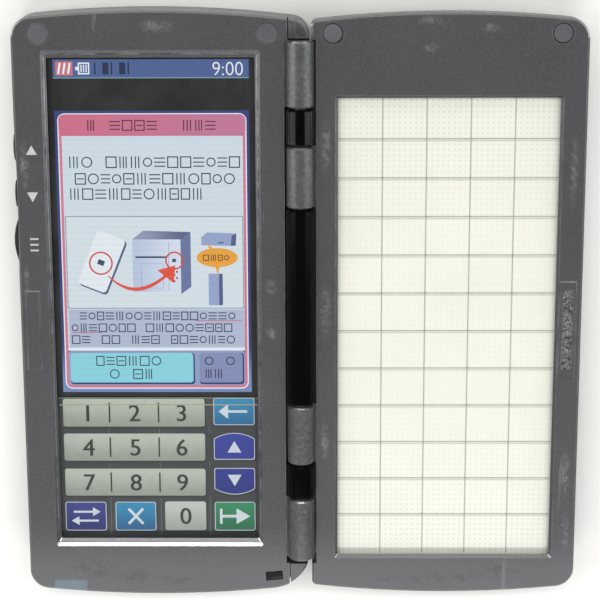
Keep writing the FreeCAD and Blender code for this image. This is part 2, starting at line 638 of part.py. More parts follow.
def battery_well():
    """Walls and roof round the battery."""
    x = (f"{CASE_X0} + wall + 1 - slip", f"{CASE_X1} - wall - 1 + slip")
    y = (f"{BATTERY_Y0} - slip - well_wall", f"{BATTERY_Y1} + slip + well_wall")
    return block("WellBlock", x, y, (DECK, WELL_TOP))


def contact_opening():
    """The opening in the well's wall for the battery contacts."""
    x = ("-half_width / 2 - contacts_width / 2 - 2 * fit", "-half_width / 2 + contacts_width / 2 + 2 * fit")
    y = (f"{BATTERY_Y1} + slip - 0.1", f"{BATTERY_Y1} + slip + well_wall + 0.1")
    return block("ContactOpening", x, y, (f"{DECK_TOP} + 0.4", f"{BOARD} - slip"))


def port_block(name, gap, rim, z):
    """The infrared window's outline, grown by a gap or a rim."""
    grow = f"({gap} + {rim})"
    x = (f"-half_width / 2 - port_width / 2 - {grow}", f"-half_width / 2 + port_width / 2 + {grow}")
    y = (f"port_place - port_height / 2 - {grow}", f"port_place + port_height / 2 + {grow}")
    return block(name, x, y, z)


# The side keys: name, middle along the terminal, length.
KEYS = (
    ("KeyUp", "key_up_place", "key_length"),
    ("KeyDown", "key_down_place", "key_length"),
    ("KeyEnter", "key_enter_place", "enter_length"),
)


def key_block(name, middle, length, gap, rise):
    """A key's stem through the side wall."""
    x = (f"-half_width - {rise}", f"{CASE_X0} + slip + 0.1")
    y = (f"{middle} - {length} / 2 - {gap}", f"{middle} + {length} / 2 + {gap}")
    return block(name, x, y, (f"{KEY_TOP} - key_height - {gap}", f"{KEY_TOP} + {gap}"))


def side_key(name, middle, length, rise, bow, label):
    """A side key: a stem whose front bows outward by bow, with a rim inside the wall."""
    stem = key_block(name + "Stem", middle, length, "0", rise)
    radius = f"(({length} / 2) ^ 2 / (2 * {bow}) + {bow} / 2)"
    z = (f"{KEY_TOP} - key_height - 1", f"{KEY_TOP} + 1")
    arc = disc(name + "Arc", f"-half_width - {rise} + {radius}", middle, z, radius)
    front = shared(name + "Bow", stem, arc)
    doc.recompute()
    outer = front.Shape.BoundBox.XMin
    front = rounded("Fillet", name + "Front", front, edges(front, lambda b: b.XMin < outer + 1e-3), 0.3)
    x = (f"{CASE_X0} + slip", f"{CASE_X0} + 3 * slip")
    y = (f"{middle} - {length} / 2 - key_flange", f"{middle} + {length} / 2 + key_flange")
    z = (f"{KEY_TOP} - key_height - key_flange", f"{KEY_TOP} + key_flange")
    return node(joined(name, front, block(name + "Rim", x, y, z)), label)


def contact_block(name, side, gap, out):
    """A charging contact in the lower end wall."""
    middle = f"(-half_width / 2 + {side} * 5)"
    x = (f"{middle} - 1.5 - {gap}", f"{middle} + 1.5 + {gap}")
    y = (f"-half_length + 0.15 - {out}", f"-{CASE_Y} + {gap}")
    return block(name, x, y, (f"{DECK_TOP} + 0.5 - {gap}", f"{DECK_TOP} + 2.9 + {gap}"))


LATCH_X = "(-half_width / 2)"
LATCH_Y = "(-latch_place)"
LATCH_FLOOR = "(rear_floor + 0.6)"


def latch_boss():
    """Thicker floor round the latch."""
    x = (f"{LATCH_X} - latch_length - 2", f"{LATCH_X} + latch_length + latch_travel + 1")
    y = ("-cover_edge + wall - 0.1", f"{LATCH_Y} + latch_width / 2 + 2")
    return block("LatchBoss", x, y, ("rear_floor - 0.2", LATCH_FLOOR))


def latch_ways():
    """The shallow recess that the latch slides in and the slot for its post."""
    x = (f"{LATCH_X} - latch_length / 2 - slip", f"{LATCH_X} + latch_length / 2 + latch_travel + slip")
    y = (f"{LATCH_Y} - latch_width / 2 - slip", f"{LATCH_Y} + latch_width / 2 + slip")
    recess = block("LatchRecess", x, y, ("-1", "1.1"))
    slot_x = (f"{LATCH_X} - 1 - slip", f"{LATCH_X} + 1 + latch_travel + slip")
    slot_y = (f"{LATCH_Y} - 1 - slip", f"{LATCH_Y} + 1 + slip")
    return [recess, block("LatchSlot", slot_x, slot_y, ("0", f"{LATCH_FLOOR} + 0.4"))]


def battery_latch():
    """Ribbed thumb piece, post and keeper inside the floor."""
    x = (f"{LATCH_X} - latch_length / 2", f"{LATCH_X} + latch_length / 2")
    y = (f"{LATCH_Y} - latch_width / 2", f"{LATCH_Y} + latch_width / 2")
    thumb = block("LatchThumb", x, y, ("0.1", "0.9"))
    grooves = []
    for i in range(3):
        gx = f"{LATCH_X} + {(i - 1) * 1.5}"
        groove_y = (f"{LATCH_Y} - 1.7", f"{LATCH_Y} + 1.7")
        grooves.append(block(f"LatchGroove{i}", (f"{gx} - 0.3", f"{gx} + 0.3"), groove_y, ("0", "0.35")))
    top = f"({LATCH_FLOOR} + slip)"
    post_y = (f"{LATCH_Y} - 1", f"{LATCH_Y} + 1")
    post = block("LatchPost", (f"{LATCH_X} - 1", f"{LATCH_X} + 1"), post_y, ("0.5", f"{top} + 0.5"))
    keeper_y = (f"{LATCH_Y} - 1.9", f"{LATCH_Y} + 1.9")
    keeper = block("LatchKeeper", (f"{LATCH_X} - 2", f"{LATCH_X} + 2"), keeper_y, (top, f"{top} + 0.6"))
    return node(cut("BatteryLatch", joined("LatchSolid", thumb, post, keeper), *grooves), "battery_latch")


def battery_cover():
    """The sliding cover: the case's own outline below the deck, with thumb grooves."""
    blank = main_blank("Cover", ("0", SPLIT), back="back_radius")
    x = ("-half_width - 1", "shelf_reach + 1")
    space = block("CoverSpace", x, ("-half_length - 1", "-cover_edge - slip"), ("-1", "cover_thick"))
    slab = shared("CoverSlab", blank, space)
    grooves = []
    for i in range(4):
        gy = f"(-cover_edge - 7 - {i * 1.8})"
        gx = ("-half_width / 2 - 7", "-half_width / 2 + 7")
        grooves.append(block(f"CoverGroove{i}", gx, (f"{gy} - 0.4", f"{gy} + 0.4"), ("-1", "0.4")))
    return node(cut("BatteryCover", slab, *grooves), "battery_cover")


def framed(label, outer, inner, z, corner):
    """A flat ring between two outlines, each (x0, x1, y0, y1)."""
    return node(plate(label, outer[:2], outer[2:], z, corner, [(inner[:2], inner[2:])]), label)


def main_display():
    """Seal, touch panel, printed key sheet, screen and the frame that carries them."""
    glass = (GLASS_X0, GLASS_X1, GLASS_Y0, GLASS_Y1)
    opening = window_outline("window_bevel - 0.8", "window_end_bevel - 0.8")
    framed("window_gasket", glass, opening, (GASKET, GASKET_TOP), "0.3")
    node(plate("touch_panel", glass[:2], glass[2:], (GLASS, GLASS_TOP), "0.6"), "touch_panel")
    x = (f"{WINDOW_X0} + 0.4", f"{WINDOW_X1} - 0.4")
    node(plate("keypad_sheet", x, (GLASS_Y0, f"{LCD_Y0} + 2.2"), (SHEET, SHEET_TOP), "0.8"), "keypad_sheet")
    node(plate("lcd_module", x, (LCD_Y0, LCD_Y1), (LCD, LCD_TOP), "0.4"), "lcd_module")
    deck = block("FrameDeck", glass[:2], glass[2:], (FRAME, FRAME_TOP))
    rest = block("KeypadRest", x, (GLASS_Y0, f"{LCD_Y0} - 2 * fit"), (f"{FRAME_TOP} - 0.1", f"{SHEET} - fit"))
    opening_x = (f"{WINDOW_X0} + 8", f"{WINDOW_X1} - 9")
    window = block("FrameOpening", opening_x, (f"{LCD_Y0} + 10", f"{LCD_Y1} - 12"), ("0", LCD_TOP))
    node(cut("DisplayFrame", joined("FrameSolid", deck, rest), window), "display_frame")


def main_board():
    """Main board over the rear floor, with the pieces that hang under it."""
    x = (f"{CASE_X0} + 3.6", f"{CASE_X1} - slip")
    y = (f"{BATTERY_Y1} + slip + well_wall + 3.4", "half_length - cap_end - boss_radius - slip")
    node(plate("main_board", x, y, (BOARD, BOARD_TOP), "1.0"), "main_board")
    under = f"({BOARD} - fit)"
    left = f"({CASE_X0} + 6)"
    x = (f"{left} + 6", f"{left} + 20")
    node(plate("processor", x, ("-4", "10"), (f"{under} - 1.4", under), "0.3"), "processor")
    chips = []
    for i in range(2):
        chip_y = (f"{-4 + 13 * i}", f"{7 + 13 * i}")
        chips.append(block(f"Memory{i}", (f"{left} + 26", f"{left} + 34"), chip_y, (f"{under} - 1.1", under)))
    node(group("MemoryChips", chips), "memory_chips")
    x = (f"{left} + 42", f"{left} + 49")
    node(plate("power_chip", x, ("0", "7"), (f"{under} - 1.0", under), "0.2"), "power_chip")
    cell = disc("BackupCell", f"{left} + 48", "17", (f"{under} - 2.0", under), "5.0")
    rims = edges(cell, lambda b: b.ZLength < 1e-3)
    node(rounded("Chamfer", "BackupCellEdge", cell, rims, 0.2), "backup_cell")
    buzzer = disc("BuzzerCan", f"{left} + 47", "58", (f"{under} - 2.2", under), "6.0")
    port = disc("BuzzerPort", f"{left} + 47", "58", (f"{under} - 3", f"{under} - 1.8"), "0.8")
    node(cut("Buzzer", buzzer, port), "buzzer")
    x = ("-half_width / 2 - 5", "-half_width / 2 + 5")
    y = ("port_place - 2.5", "port_place + 2.5")
    node(plate("infrared_module", x, y, ("rear_floor + 1.0", under), "0.5"), "infrared_module")


def radio():
    """Wireless board under the main board, its shield and its antenna."""
    left = f"({CASE_X0} + 5)"
    top = f"({BOARD} - 0.6)"
    x = (left, f"{left} + 25")
    node(plate("radio_board", x, ("46", "68"), (f"{top} - 0.8", top), "0.5"), "radio_board")
    x = (f"{left} + 3", f"{left} + 19")
    can = block("ShieldCan", x, ("48", "62"), (f"{top} - 2.6", f"{top} - 0.8 - fit"))
    inner_x = (f"{x[0]} + 0.3", f"{x[1]} - 0.3")
    inside = block("ShieldInside", inner_x, ("48.3", "61.7"), (f"{top} - 2.3", top))
    node(cut("RadioShield", can, inside), "radio_shield")
    antenna_z = (f"{top} - 1.6", f"{top} - 0.8 - fit")
    node(plate("antenna", (f"{left} + 2", f"{left} + 23"), ("64", "67"), antenna_z, "0.2"), "antenna")


def power():
    """Battery pack and its sprung contacts."""
    x = (f"{CASE_X0} + wall + well_wall + 1", f"{CASE_X1} - wall - well_wall - 1")
    node(plate("battery_pack", x, (BATTERY_Y0, BATTERY_Y1), (BATTERY, BATTERY_TOP), "1.2"), "battery_pack")
    y = (f"{BATTERY_Y1} + fit", f"{BATTERY_Y1} + slip + well_wall + 2.4")
    z = (f"{DECK_TOP} + 0.4 + fit", f"{BOARD} - slip - fit")
    carrier_x = ("-half_width / 2 - contacts_width / 2", "-half_width / 2 + contacts_width / 2")
    carrier = block("ContactCarrier", carrier_x, y, z)
    slots = []
    for i in range(3):
        middle = f"(-half_width / 2 + {(i - 1) * 5})"
        slot_y = (f"{BATTERY_Y1} - 1", f"{y[0]} + 0.8")
        slots.append(block(f"ContactSlot{i}", (f"{middle} - 0.6", f"{middle} + 0.6"), slot_y, z))
    node(cut("BatteryContacts", carrier, *slots), "battery_contacts")
    pads = []
    for i, side in enumerate((-1, 1)):
        pads.append(contact_block(f"ChargePad{i}", side, "0", "0"))
    node(group("ChargeContacts", pads), "charge_contacts")


def windows():
    """Infrared window in the rear, status light window in the front corner and its lamps."""
    pane = port_block("PortPane", "0", 0, ("0.1", "rear_floor + fit"))
    rim = port_block("PortRim", "0", 1, ("rear_floor + fit", "rear_floor + 0.7"))
    node(joined("InfraredWindow", pane, rim), "infrared_window")
    blank = main_blank("Light", (f"{SPLIT} + seam", FACE), face="face_chamfer")
    node(light_box("LightWindow", "0", blank), "light_window")
    y = (f"-{CASE_Y} + light_lap + 2 * fit", f"-{CASE_Y} + light_lap + 3.5")
    board_z = (f"{PLATE} - fit - 0.6", f"{PLATE} - fit")
    board_x = ("-half_width + light_side", "-half_width + light_side + light_width")
    node(plate("lamp_board", board_x, y, board_z, "0.3"), "lamp_board")
    lamps = []
    lamp_y = (y[0], f"{y[0]} + 1.6")
    lamp_z = (f"{PLATE} - 2 * fit - 1.4", f"{PLATE} - 2 * fit - 0.6")
    for i in range(2):
        px = f"-half_width + light_side + 2.4 + {i * 4}"
        lamps.append(block(f"Lamp{i}", (f"{px} - 0.8", f"{px} + 0.8"), lamp_y, lamp_z))
    node(group("StatusLamps", lamps), "status_lamps")


def side_keys():
    """The three side keys, their switches and the board behind them."""
    side_key("KeyUp", *KEYS[0][1:], "key_rise", "0.3", "side_key_up")
    side_key("KeyDown", *KEYS[1][1:], "key_rise", "0.3", "side_key_down")
    side_key("KeyEnter", *KEYS[2][1:], "enter_rise", "enter_bow", "side_key_enter")
    front = f"({CASE_X0} + 4 * slip + key_travel)"
    middle = f"({KEY_TOP} - key_height / 2)"
    switches = []
    for name, key_middle, _ in KEYS:
        y = (f"{key_middle} - 1.8", f"{key_middle} + 1.8")
        z = (f"{middle} - 1.5", f"{middle} + 1.5")
        switches.append(block(f"{name}Switch", (front, f"{front} + switch_thick"), y, z))
    node(group("SideSwitches", switches), "side_switches")
    x = (f"{front} + switch_thick + fit", f"{front} + switch_thick + fit + 0.6")
    y = ("key_enter_place - 7", "key_up_place + 7")
    node(plate("side_key_board", x, y, (f"{middle} - 2.6", f"{middle} + 2.4"), "0.2"), "side_key_board")


def screw(name, x, y, head_under, tip, down):
    """A cross-recess screw; head_under is where the head seats, tip the shank's end."""
    head = (head_under, f"{head_under} + head_thick") if down else (f"{head_under} - head_thick", head_under)
    shank = (tip, head_under) if down else (head_under, tip)
    parts = (disc(name + "Head", x, y, head, "screw_head"), disc(name + "Shank", x, y, shank, "screw_radius"))
    solid = joined(name + "Solid", *parts)
    z = (f"{head[1]} - 0.5", f"{head[1]} + 1") if down else (f"{head[0]} - 1", f"{head[0]} + 0.5")
    crossed = []
    for i, (w, d) in enumerate(((1.0, 0.2), (0.2, 1.0))):
        across = (f"{x} - {w}", f"{x} + {w}")
        crossed.append(block(f"{name}Cross{i}", across, (f"{y} - {d}", f"{y} + {d}"), z))
    return cut(name, solid, *crossed)


def fasteners():
    """Screws and caps of both halves, and the steel plate under the catch pad."""
    seat = f"({FACE} - cap_thick - head_thick - 3 * fit)"
    upper, lower = screw_places(-1)
    screws = [screw(f"MainScrew{i}", *at, f"({seat} + fit)", DECK_TOP, True) for i, at in enumerate(upper)]
    low_seat = f"({DECK} + head_thick)"
    low_tip = f"({PLATE} - 0.8)"
    screws += [screw(f"MainLowScrew{i}", *at, low_seat, low_tip, False) for i, at in enumerate(lower)]
    node(group("CaseScrews", screws), "case_screws")
    node(caps("MainCap", upper, "0.02", "cap_radius"), "main_screw_caps")
    upper, lower = screw_places(1)
    under_head = f"({seat} + fit)"
    screws = [screw(f"PanelScrew{i}", *at, under_head, PANEL_INSIDE, True) for i, at in enumerate(upper)]
    node(group("PanelScrews", screws), "panel_screws")
    node(caps("PanelCap", upper, "0.3", "cap_radius - 0.2"), "panel_screw_caps")
    x = (f"{CASE_X0} + 0.1", f"{GLASS_X0} - 0.2")
    y = ("pad_middle - pad_length / 2 + 0.5", "pad_middle + pad_length / 2 - 0.5")
    node(plate("catch_plate", x, y, (f"{PLATE} - fit - 0.8", f"{PLATE} - fit"), "0.3"), "catch_plate")


def caps(name, places, sunk, radius):
    """Round caps over the upper screws, sunk below the face."""
    pieces = []
    for i, (px, py) in enumerate(places):
        cap = disc(f"{name}{i}", px, py, (f"{FACE} - cap_thick", f"{FACE} - {sunk}"), radius)
        doc.recompute()
        top = cap.Shape.BoundBox.ZMax
        rim = edges(cap, lambda b: b.ZMin > top - 1e-3)
        pieces.append(rounded("Chamfer", f"{name}Edge{i}", cap, rim, 0.12))
    return group(name + "s", pieces)


def hinge():
    """Pins, friction sleeves and gloss covers on the hinge axis."""
    sleeves = []
    pin_end = f"({MAIN_KNUCKLE_END} - wall - fit)"
    for side in (1, -1):
        pin_y = stations(f"({PANEL_KNUCKLE_START} + panel_knuckle / 2)", pin_end, side)
        label = f"hinge_pin_{side_name(side).lower()}"
        node(rod(f"Pin{side_name(side)}", 0, pin_y, AXIS, "pin_radius"), label)
        y = stations(f"({MAIN_KNUCKLE_START} + wall + fit)", pin_end, side)
        sleeve = rod(f"SleeveTube{side_name(side)}", 0, y, AXIS, "sleeve_radius")
        hole = rod(f"SleeveHole{side_name(side)}", 0, y, AXIS, "pin_radius + fit / 2")
        sleeves.append(cut(f"Sleeve{side_name(side)}", sleeve, hole))
        y = stations(PANEL_KNUCKLE_END, MAIN_KNUCKLE_START, side)
        cover = hinge_cover(f"ShortCover{side_name(side)}", y)
        through = (f"{y[0]} - 1", f"{y[1]} + 1")
        bore = rod(f"ShortCoverBore{side_name(side)}", 0, through, AXIS, "pin_radius + fit")
        node(cut(f"HingeCover{side_name(side)}", cover, bore), f"hinge_cover_{side_name(side).lower()}")
    node(group("FrictionSleeves", sleeves), "friction_sleeves")
    far = "(middle_cover_half - knuckle_gap / 2)"
    y = (f"(hinge_middle - {far})", f"(hinge_middle + {far})")
    cover = hinge_cover("MiddleCover", y)
    bore = rod("MiddleCoverBore", 0, (f"{y[0]} + wall", f"{y[1]} - wall"), AXIS, f"{COVER} - 0.9")
    slot = ribbon_slot("CoverRibbonSlot", (f"-{RELIEF} - 1", "0"))
    node(cut("HingeCoverMiddle", cover, bore, slot), "hinge_cover_middle")


def hinge_cover(name, y):
    """A gloss barrel with a foot that meets the main unit's wall."""
    foot = block(name + "Foot", (f"-{RELIEF} + fit", "-1"), y, (f"{AXIS} - {COVER}", f"{AXIS} - fold_gap"))
    return joined(name + "Solid", barrel(name, y, COVER), foot)


def ribbon():
    """The ribbon: a coil in the middle cover, a run through the wall and a drop to its connector."""
    y = ("-ribbon_width / 2", "ribbon_width / 2")
    coil_radius = f"({AXIS} - {RIBBON})"
    half = "ribbon_thick / 2"
    outer = rod("CoilOuter", 0, y, AXIS, f"{coil_radius} + {half}")
    inner = rod("CoilInner", 0, y, AXIS, f"{coil_radius} - {half}")
    quarter = block("CoilQuarter", (f"-{COVER}", "0"), y, (f"{AXIS} - {COVER}", AXIS))
    run = block("RibbonRun", (RIBBON_DROP, "0"), y, (f"{RIBBON} - {half}", f"{RIBBON} + {half}"))
    drop_x = (f"{RIBBON_DROP} - {half}", f"{RIBBON_DROP} + {half}")
    drop = block("RibbonDrop", drop_x, y, (f"{BOARD_TOP} + 0.4", f"{RIBBON} + {half}"))
    node(joined("RibbonCoil", cut("Coil", outer, inner, quarter), run, drop), "ribbon_coil")
    connector("RibbonConnector", RIBBON_DROP, y, BOARD_TOP, "ribbon_connector")


def connector(name, x, y, level, label):
    """A ribbon connector standing on a board, with the slot that the ribbon's end sits in."""
    around = (f"{y[0]} - 0.8", f"{y[1]} + 0.8")
    shell = block(name + "Shell", (f"{x} - 1.0", f"{x} + 0.9"), around, (f"{level} + fit", f"{level} + 1.0"))
    slot_x = (f"{x} - ribbon_thick / 2 - fit", f"{x} + ribbon_thick / 2 + fit")
    slot_y = (f"{y[0]} - fit", f"{y[1]} + fit")
    slot = block(name + "Slot", slot_x, slot_y, (f"{level} + 0.3", f"{level} + 2"))
    return node(cut(name, shell, slot), label)


def panel_front_case():
    """Front frame of the menu panel: face, sloped window, knuckles and the magnet's raised seat."""
    bottom = f"({PANEL_SPLIT} + seam)"
    blank = panel_blank("PanelFront", (bottom, FACE), face="face_chamfer")
    inside_y = (f"-{PANEL_Y}", PANEL_Y)
    inside = block("PanelFrontInside", (PANEL_X0, PANEL_X1), inside_y, (f"{bottom} - 1", PLATE))
    slopes = (MENU_X0, MENU_X1, MENU_Y0, MENU_Y1)
    low = (f"{MENU_X0} + menu_bevel", f"{MENU_X1} - menu_bevel")
    low += (f"{MENU_Y0} + menu_bevel", f"{MENU_Y1} - menu_bevel")
    window = hollow("MenuWindow", low, slopes, (f"{PLATE} + gasket_thick", FACE), mm("menu_corner"))
    throat = hollow("MenuThroat", low, low, (f"{PLATE} - 1", f"{PLATE} + gasket_thick"), mm("menu_corner"))
    relief = block("PanelFrontRelief", ("0", RELIEF), RELIEF_Y, (f"{bottom} - 1", f"{FACE} + 1"))
    shell = cut("PanelFrontShell", blank, relief, inside, window, throat)
    additions = [shell, magnet_seat()]
    for side in (1, -1):
        y = stations(PANEL_KNUCKLE_START, PANEL_KNUCKLE_END, side)
        additions.append(barrel(f"PanelKnuckle{side_name(side)}", y, "barrel_radius"))
        web = (bottom, f"{FACE} - face_chamfer")
        additions.append(block(f"PanelWeb{side_name(side)}", ("0", PANEL_X0), y, web))
    for i, (px, py) in enumerate(screw_places(1)[0]):
        additions.append(disc(f"PanelFrontBoss{i}", px, py, (bottom, f"{PLATE} + 0.1"), "boss_radius"))
    body = joined("PanelFrontBody", *additions)
    tools = cap_holes("Panel", (screw_places(1)[0], ()), bottom)
    for side in (1, -1):
        middle = f"({PANEL_KNUCKLE_START} + panel_knuckle / 2)"
        y = stations(f"({middle} - 1)", f"({PANEL_KNUCKLE_END} + 1)", side)
        tools.append(rod(f"PanelPinBore{side_name(side)}", 0, y, AXIS, "pin_radius + running_gap"))
    tools.append(magnet_block("MagnetPocket", "fit", f"{FACE} + 1"))
    tools += tail_ways()
    return node(cut("PanelFrontCase", body, *tools), "panel_front_case")


MAGNET_X = "(half_width - pad_side - seat_width / 2)"


def magnet_seat():
    """The raised frame round the magnet bar."""
    x = (f"{MAGNET_X} - seat_width / 2", f"{MAGNET_X} + seat_width / 2")
    y = ("pad_middle - seat_length / 2", "pad_middle + seat_length / 2")
    return bevelled("MagnetSeat", block("MagnetSeatBlock", x, y, (f"{FACE} - 0.5", f"{FACE} + pad_rise")))


def magnet_block(name, gap, top):
    x = (f"{MAGNET_X} - magnet_width / 2 - {gap}", f"{MAGNET_X} + magnet_width / 2 + {gap}")
    y = (f"pad_middle - magnet_length / 2 - {gap}", f"pad_middle + magnet_length / 2 + {gap}")
    return block(name, x, y, (f"{FACE} + pad_rise - 0.1 - magnet_thick - {gap}", top))


# The panel's end of the ribbon lies in the free inner half of its lower knuckle.
TAIL_START = f"(hinge_middle - {PANEL_KNUCKLE_START})"
TAIL_Y = (f"({TAIL_START} - panel_knuckle / 2 + 1.6)", f"({TAIL_START} - 1.2)")
TAIL = f"({AXIS} - 1.8)"
TAIL_DROP = f"({PANEL_X0} + 1.2)"


def tail_ways():
    """The hollow in the lower knuckle and the slot into the menu panel."""
    y = (f"{TAIL_Y[0]} - 0.4", f"{TAIL_START} + 1")
    slot_z = (f"{TAIL} - ribbon_thick / 2 - slip", f"{TAIL} + ribbon_thick / 2 + slip")
    slot = block("TailSlot", ("0", f"{PANEL_X0} + 1"), (f"{TAIL_Y[0]} - slip", f"{TAIL_Y[1]} + slip"), slot_z)
    return [rod("TailHollow", 0, y, AXIS, "sleeve_radius"), slot]


def ribbon_tail():
    """The ribbon's end in the menu panel, with its connector on the panel's board."""
    half = "ribbon_thick / 2"
    run = block("TailRun", ("0.5", TAIL_DROP), TAIL_Y, (f"{TAIL} - {half}", f"{TAIL} + {half}"))
    drop_x = (f"{TAIL_DROP} - {half}", f"{TAIL_DROP} + {half}")
    drop = block("TailDrop", drop_x, TAIL_Y, (f"{PANEL_BOARD_TOP} + 0.4", f"{TAIL} + {half}"))
    node(joined("RibbonTail", run, drop), "ribbon_tail")
    connector("PanelConnector", TAIL_DROP, TAIL_Y, PANEL_BOARD_TOP, "panel_connector")


def panel_rear_case():
    """Rear tray of the menu panel with its screw posts."""
    blank = panel_blank("PanelRear", (PANEL_BACK, PANEL_SPLIT), back="panel_back_radius")
    inside_z = (PANEL_INSIDE, f"{PANEL_SPLIT} + 1")
    inside = block("PanelRearInside", (PANEL_X0, PANEL_X1), (f"-{PANEL_Y}", PANEL_Y), inside_z)
    shell = cut("PanelRearShell", blank, rod("PanelRearRelief", 0, RELIEF_Y, AXIS, RELIEF), inside)
    posts = []
    holes = []
    for i, (px, py) in enumerate(screw_places(1)[0]):
        post_z = (f"{PANEL_INSIDE} - 0.1", PANEL_SPLIT)
        posts.append(disc(f"PanelPost{i}", px, py, post_z, "boss_radius - slip"))
        thread_z = (f"{PANEL_INSIDE} - 0.3", f"{PANEL_SPLIT} + 1")
        holes.append(disc(f"PanelThread{i}", px, py, thread_z, "screw_radius + fit"))
    return node(cut("PanelRearCase", joined("PanelRearBody", shell, *posts), *holes), "panel_rear_case")


def menu_stack():
    """Seal, touch panel, printed menu sheet, stiffener and board of the menu panel."""
    x = (f"{MENU_X0} - menu_lap", f"{MENU_X1} + menu_lap")
    y = (f"{MENU_Y0} - menu_lap", f"{MENU_Y1} + menu_lap")
    inner = (f"{MENU_X0} + menu_bevel - 0.5", f"{MENU_X1} - menu_bevel + 0.5")
    inner += (f"{MENU_Y0} + menu_bevel - 0.5", f"{MENU_Y1} - menu_bevel + 0.5")
    framed("panel_gasket", x + y, inner, (MENU_GASKET, f"{PLATE} - fit"), "0.3")
    node(plate("menu_touch_panel", x, y, (MENU_GLASS, MENU_GLASS_TOP), "0.6"), "menu_touch_panel")
    node(plate("menu_sheet", x, y, (MENU_SHEET, f"{MENU_GLASS} - fit"), "0.6"), "menu_sheet")
    notch_x = (f"{x[0]} - 1", f"{TAIL_DROP} + 1.4")
    notch = (notch_x, (f"{TAIL_Y[0]} - 1.3", f"{TAIL_Y[1]} + 1.3"))
    node(plate("backing_plate", x, y, (BACKING, BACKING_TOP), "0.8", [notch]), "backing_plate")
    x = (f"{PANEL_X0} + slip", f"{PANEL_X0} + 34")
    node(plate("panel_board", x, ("-46", "4"), (PANEL_BOARD, PANEL_BOARD_TOP), "0.8"), "panel_board")
    x = (f"{PANEL_X0} + 12", f"{PANEL_X0} + 21")
    node(plate("panel_chip", x, ("-24", "-15"), (PANEL_CHIP, f"{PANEL_BOARD} - fit"), "0.2"), "panel_chip")
    magnet = magnet_block("MagnetBar", "0", f"{FACE} + pad_rise - 0.1")
    node(rounded("Chamfer", "MagnetBarEdges", magnet, edges(magnet, upright), 0.2), "magnet_bar")


def build():
    main_front_case()
    main_rear_case()
    battery_cover()
    battery_latch()
    main_display()
    main_board()
    radio()
    power()
    windows()
    side_keys()
    fasteners()
    hinge()
    ribbon()
    panel_front_case()
    panel_rear_case()
    menu_stack()
    ribbon_tail()
    doc.recompute()


def check():
    """Stops unless every object recomputed and every piece is a valid solid."""
    failed = [o.Label for o in doc.Objects if {"Invalid", "Error"} & set(o.State)]
    if failed:
        raise RuntimeError(f"these objects did not recompute: {failed}")
    for piece in NODES:
        if piece.Shape.isNull() or not piece.Shape.isValid() or not piece.Shape.Solids:
            raise RuntimeError(f"{piece.Label} has no valid solid")


def write():
    os.makedirs("parts", exist_ok=True)
    for piece in NODES:
        piece.Shape.exportStep(f"parts/{piece.Label}.step")
        print(f"{piece.Label:24s} {len(piece.Shape.Solids)} solids {piece.Shape.Volume:9.1f} mm3")


build()
check()
write()
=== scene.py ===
import math
import random

import bmesh
import bpy
from mathutils import Matrix, Vector


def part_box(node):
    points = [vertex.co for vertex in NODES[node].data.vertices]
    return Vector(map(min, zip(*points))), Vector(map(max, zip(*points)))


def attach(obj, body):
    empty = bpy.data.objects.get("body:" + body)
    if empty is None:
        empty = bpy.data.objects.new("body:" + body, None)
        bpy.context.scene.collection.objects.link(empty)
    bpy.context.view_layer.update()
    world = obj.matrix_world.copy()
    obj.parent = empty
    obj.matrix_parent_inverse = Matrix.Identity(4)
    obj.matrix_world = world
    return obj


# Looks for a two-fold handheld ordering terminal, lying open and flat.
# Layout numbers are millimetres in the row frame; MM turns them into metres.

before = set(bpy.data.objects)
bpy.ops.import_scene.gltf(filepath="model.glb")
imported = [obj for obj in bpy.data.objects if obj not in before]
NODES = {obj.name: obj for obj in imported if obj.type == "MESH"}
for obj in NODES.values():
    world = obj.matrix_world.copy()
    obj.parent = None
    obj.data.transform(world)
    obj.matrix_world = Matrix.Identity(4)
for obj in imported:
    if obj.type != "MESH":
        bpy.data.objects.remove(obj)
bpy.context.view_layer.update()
MM = 0.001
UNIT = "main_unit"
PANEL = "menu_panel"


def corners(name):
    """(x0, y0, z0, x1, y1, z1) of a CAD node in millimetres."""
    low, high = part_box(name)
    return (*(v / MM for v in low), *(v / MM for v in high))


# ---------------------------------------------------------------- materials

def srgb(r, g, b):
    """Linear colour of an 8-bit sRGB one."""
    out = []
    for v in (r / 255, g / 255, b / 255):
        out.append(v / 12.92 if v <= 0.04045 else ((v + 0.055) / 1.055) ** 2.4)
    return (*out, 1.0)


